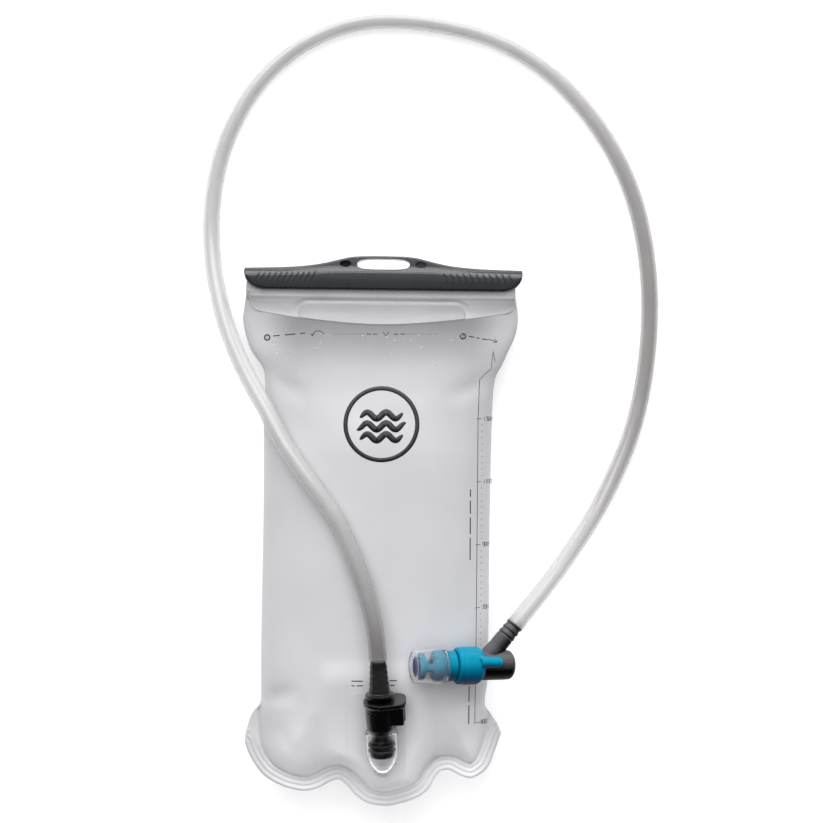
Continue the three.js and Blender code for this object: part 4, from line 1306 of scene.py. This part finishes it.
def add_elbow():
    barrel = lathe([
        (0, 0), (5.5, 0), (7.7, 2), (7.9, 6), (7.9, 23.6), (5.4, 23.6), (5.4, 27), (4.6, 27), (4.6, 28.4),
        (5.4, 28.4), (5.4, 30.4), (4.6, 30.4), (4.6, 31.8), (5.4, 31.8), (5.4, 33.6), (0, 33.6),
    ], 56, 1.1)
    branch = on_branch(lathe(
        [(0, 0), (5.3, 0), (5.1, 9), (4.75, 13), (4.75, 19.6), (4.2, 20)]
        + barbs(20.4, 3.2, (4.9, 4.8, 4.7), 0.7) + [(3.8, 30.2), (0, 30.2)], 48, 0.3))
    web = on_branch(box(5, 9, 6, 0, 8.5, 0, 1.5))
    dimple = lathe([(1.15, 0), (1.55, 0), (1.55, 3), (1.15, 3)], 32)
    dimple = moved(dimple, Matrix.Translation((3.8, 4.6, 6.2)) @ UPRIGHT)
    cuts = [rod(3.4, 12, 40), on_branch(rod(1.8, 0, 33, 32)), dimple]
    return add_fused("valve_body", [barrel, branch, web], cuts, valve_frame, 0.24, 3,
                     "grey", "hose_set", "grey_plastic", "valve_elbow")


def add_collar():
    sleeve = lathe([
        (0, 19), (9.0, 19), (10, 21.4), (10.05, 30), (9.75, 30.15), (9.8, 33), (8.8, 33.9), (0, 33.9),
    ], 64, 0.6)
    ridge = lathe([(0, 9.2), (1.7, 9.35), (2.8, 10.6), (3.0, 12.4), (3.0, 22), (0, 22)], 40, 0.6)
    lever = moved(ridge, Matrix.Translation((2.7, 0, 8.5)))
    blend_in = box(6.6, 6, 3.2, 2.7, 20.5, 8.0, 1.3)
    heel = moved(box(24, 12, 30, 0, 0, 0, 0.3), Matrix.Translation((-9.5, 15.2, -6)) @ turn_z(-0.5))
    cuts = [rod(8.15, 4, 23.7, 64), rod(5.75, 23, 40, 48), heel]
    return add_fused("twist_collar", [sleeve, lever, blend_in], cuts, valve_frame, 0.25, 3,
                     "blue", "mouthpiece", "blue_plastic", "shutoff_collar")


def add_core():
    stem_ribs = []
    for k in range(6):
        stem_ribs += [(r, y + 0.65 * k) for r, y in ((8.0, 34.8), (8.07, 35.0), (8.07, 35.2), (8.0, 35.4))]
    base = lathe([(0, 34.3), (7.6, 34.3)] + stem_ribs + [
        (8.0, 38.8), (6.5, 39.4), (6.5, 41.2), (7.8, 41.7), (8.5, 43), (8.5, 45.6), (7.6, 47.2), (5.2, 47.8),
        (0, 47.8),
    ], 64, 0.15, 2)
    ring = lathe([(4.7, 52.6), (6.6, 52.6), (7.1, 53.6), (7.1, 55), (6.5, 56), (5.2, 56), (4.7, 55)], 64, 0.4)
    waist = ((46, 4.6, 2.2), (48, 2.6, 1.6), (49.5, 1.95, 1.3), (51.5, 2.0, 1.3), (53.5, 2.9, 1.4))
    posts = []
    for side in (-1, 1):
        post = []
        for y, half, depth in waist:
            outline = rounded_outline(half, depth, min(half, depth) * 0.95, 5)
            post.append([(x, y, side * 5.3 + z) for x, z in outline])
        posts.append(loft(post))
    return add_fused("mouth_core", [base, ring] + posts, [rod(3.6, 30, 60)], valve_frame, 0.2, 3,
                     "blue", "mouthpiece", "blue_plastic", "mouthpiece_core")


def add_sheath():
    """The soft clear bite sheath: it grips the core's groove and swells over its bulge."""
    outer = [(6.9, 38.7), (8.2, 38.9), (8.6, 40.2), (8.9, 42), (9.5, 44), (9.5, 46), (9.0, 48.5), (8.8, 51),
             (8.9, 54), (8.9, 56.4), (8.3, 58.2), (7.2, 58.9), (5.8, 58.6)]
    inner = [(5.3, 57.8), (6.2, 57.5), (7.3, 57.2), (7.8, 56), (7.9, 51), (8.2, 48.5), (8.7, 46), (8.7, 43),
             (7.9, 41), (6.6, 40.7), (6.6, 39.2)]
    mesh = make_mesh("bite_sleeve", *moved(lathe(outer + inner, 72, 0.8, 3), valve_frame))
    return add_piece("bite_sleeve", mesh, "sheath", "mouthpiece", "clear_silicone", "bite_sheath")


def add_slit():
    """The dark membrane in the sheath's mouth, with the slit that opens when it is bitten."""
    lips = lathe([(0, 56.3), (4.6, 56.1), (5.1, 56.5), (5.0, 57.2), (3.5, 57.6), (0, 57.7)], 48, 0.3)
    cut = box(7.4, 4, 0.35, 0, 57.6, 0, 0.1)
    return add_fused("bite_slit", [lips], [cut], valve_frame, 0.14, 2,
                     "membrane", "mouthpiece", "blue_silicone", "bite_membrane")


valve_pieces = [add_elbow(), add_collar(), add_core(), add_sheath(), add_slit()]

# ---------------------------------------------------------------- floor and light


FLOOR_HALF = 3.0  # metres
LIGHTS = [  # name, place, target and size in metres, watts, seen in gloss
    ("key", (-0.15, 1.0, 1.15), (0, 0.03, 0), (1.3, 0.8), 11, True),
    ("overhead", (0.0, 0.0, 1.9), (0, 0.0, 0), (2.0, 2.0), 18, False),
    ("rim_strip", (0.0, 1.2, 0.16), (0, 0.14, 0.02), (1.6, 0.25), 7, True),
]
STUDIO = [(0.0, 0.04), (0.4, 0.08), (0.5, 0.18), (0.62, 0.45), (0.8, 0.85), (1.0, 1.0)]  # foot to top, level


def add_floor():
    data = bpy.data.meshes.new("floor")
    corners = [(FLOOR_HALF * x, FLOOR_HALF * y, 0) for x, y in ((-1, -1), (1, -1), (1, 1), (-1, 1))]
    data.from_pydata(corners, [], [(0, 1, 2, 3)])
    look = Look("floor", (0.96, 0.96, 0.96), 0.8, Emission_Color=(1, 1, 1, 1), Emission_Strength=0.3)
    look.into(look.ramp(look.noise(400, 2), (0.95, 0.95, 0.95), (0.97, 0.97, 0.97)), "Base Color")
    floor = new_object("floor", data, look.material, 180)
    floor.location.z = -0.0002


def add_area(name, place, target, size, power, seen_in_gloss):
    data = bpy.data.lights.new(name, "AREA")
    data.shape = "RECTANGLE"
    data.size, data.size_y = size
    data.energy = power
    light = linked(name, data)
    light.location = place
    light.rotation_euler = (Vector(target) - Vector(place)).to_track_quat("-Z", "Y").to_euler()
    light.visible_glossy = seen_in_gloss


def add_world():
    """A soft studio that is bright towards the object's top and dark towards its foot."""
    world = bpy.data.worlds.new("studio")
    world.use_nodes = True
    nodes, links = world.node_tree.nodes, world.node_tree.links
    place = nodes.new("ShaderNodeTexCoord")
    split = nodes.new("ShaderNodeSeparateXYZ")
    along = nodes.new("ShaderNodeMapRange")
    along.inputs["From Min"].default_value = -1.0
    ramp = nodes.new("ShaderNodeValToRGB")
    set_stops(ramp.color_ramp, [(position, (level, level, level * 1.03)) for position, level in STUDIO])
    links.new(place.outputs["Generated"], split.inputs["Vector"])
    links.new(split.outputs["Y"], along.inputs["Value"])
    links.new(along.outputs["Result"], ramp.inputs["Fac"])
    links.new(ramp.outputs["Color"], nodes["Background"].inputs["Color"])
    bpy.context.scene.world = world


add_floor()
add_world()
for light in LIGHTS:
    add_area(*light)
bpy.context.scene.view_settings.view_transform = "Standard"

# ---------------------------------------------------------------- carried-over CAD nodes

NODE_LOOKS = {  # the nodes that are shown with their CAD shape
    "rail": ("seal_rail_back", "seal_rail_front", "fold_core_strip"),
    "steel": ("button_spring", "poppet_spring"),
    "black": ("shutoff_poppet",),
    "rubber": (
        "nose_oring_upper", "nose_oring_lower", "poppet_seal", "plug_oring", "spigot_oring_inner",
        "spigot_oring_outer",
    ),
}
for look, nodes in NODE_LOOKS.items():
    for node in nodes:
        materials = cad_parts[node].data.materials
        materials.clear()
        materials.append(LOOKS[look])
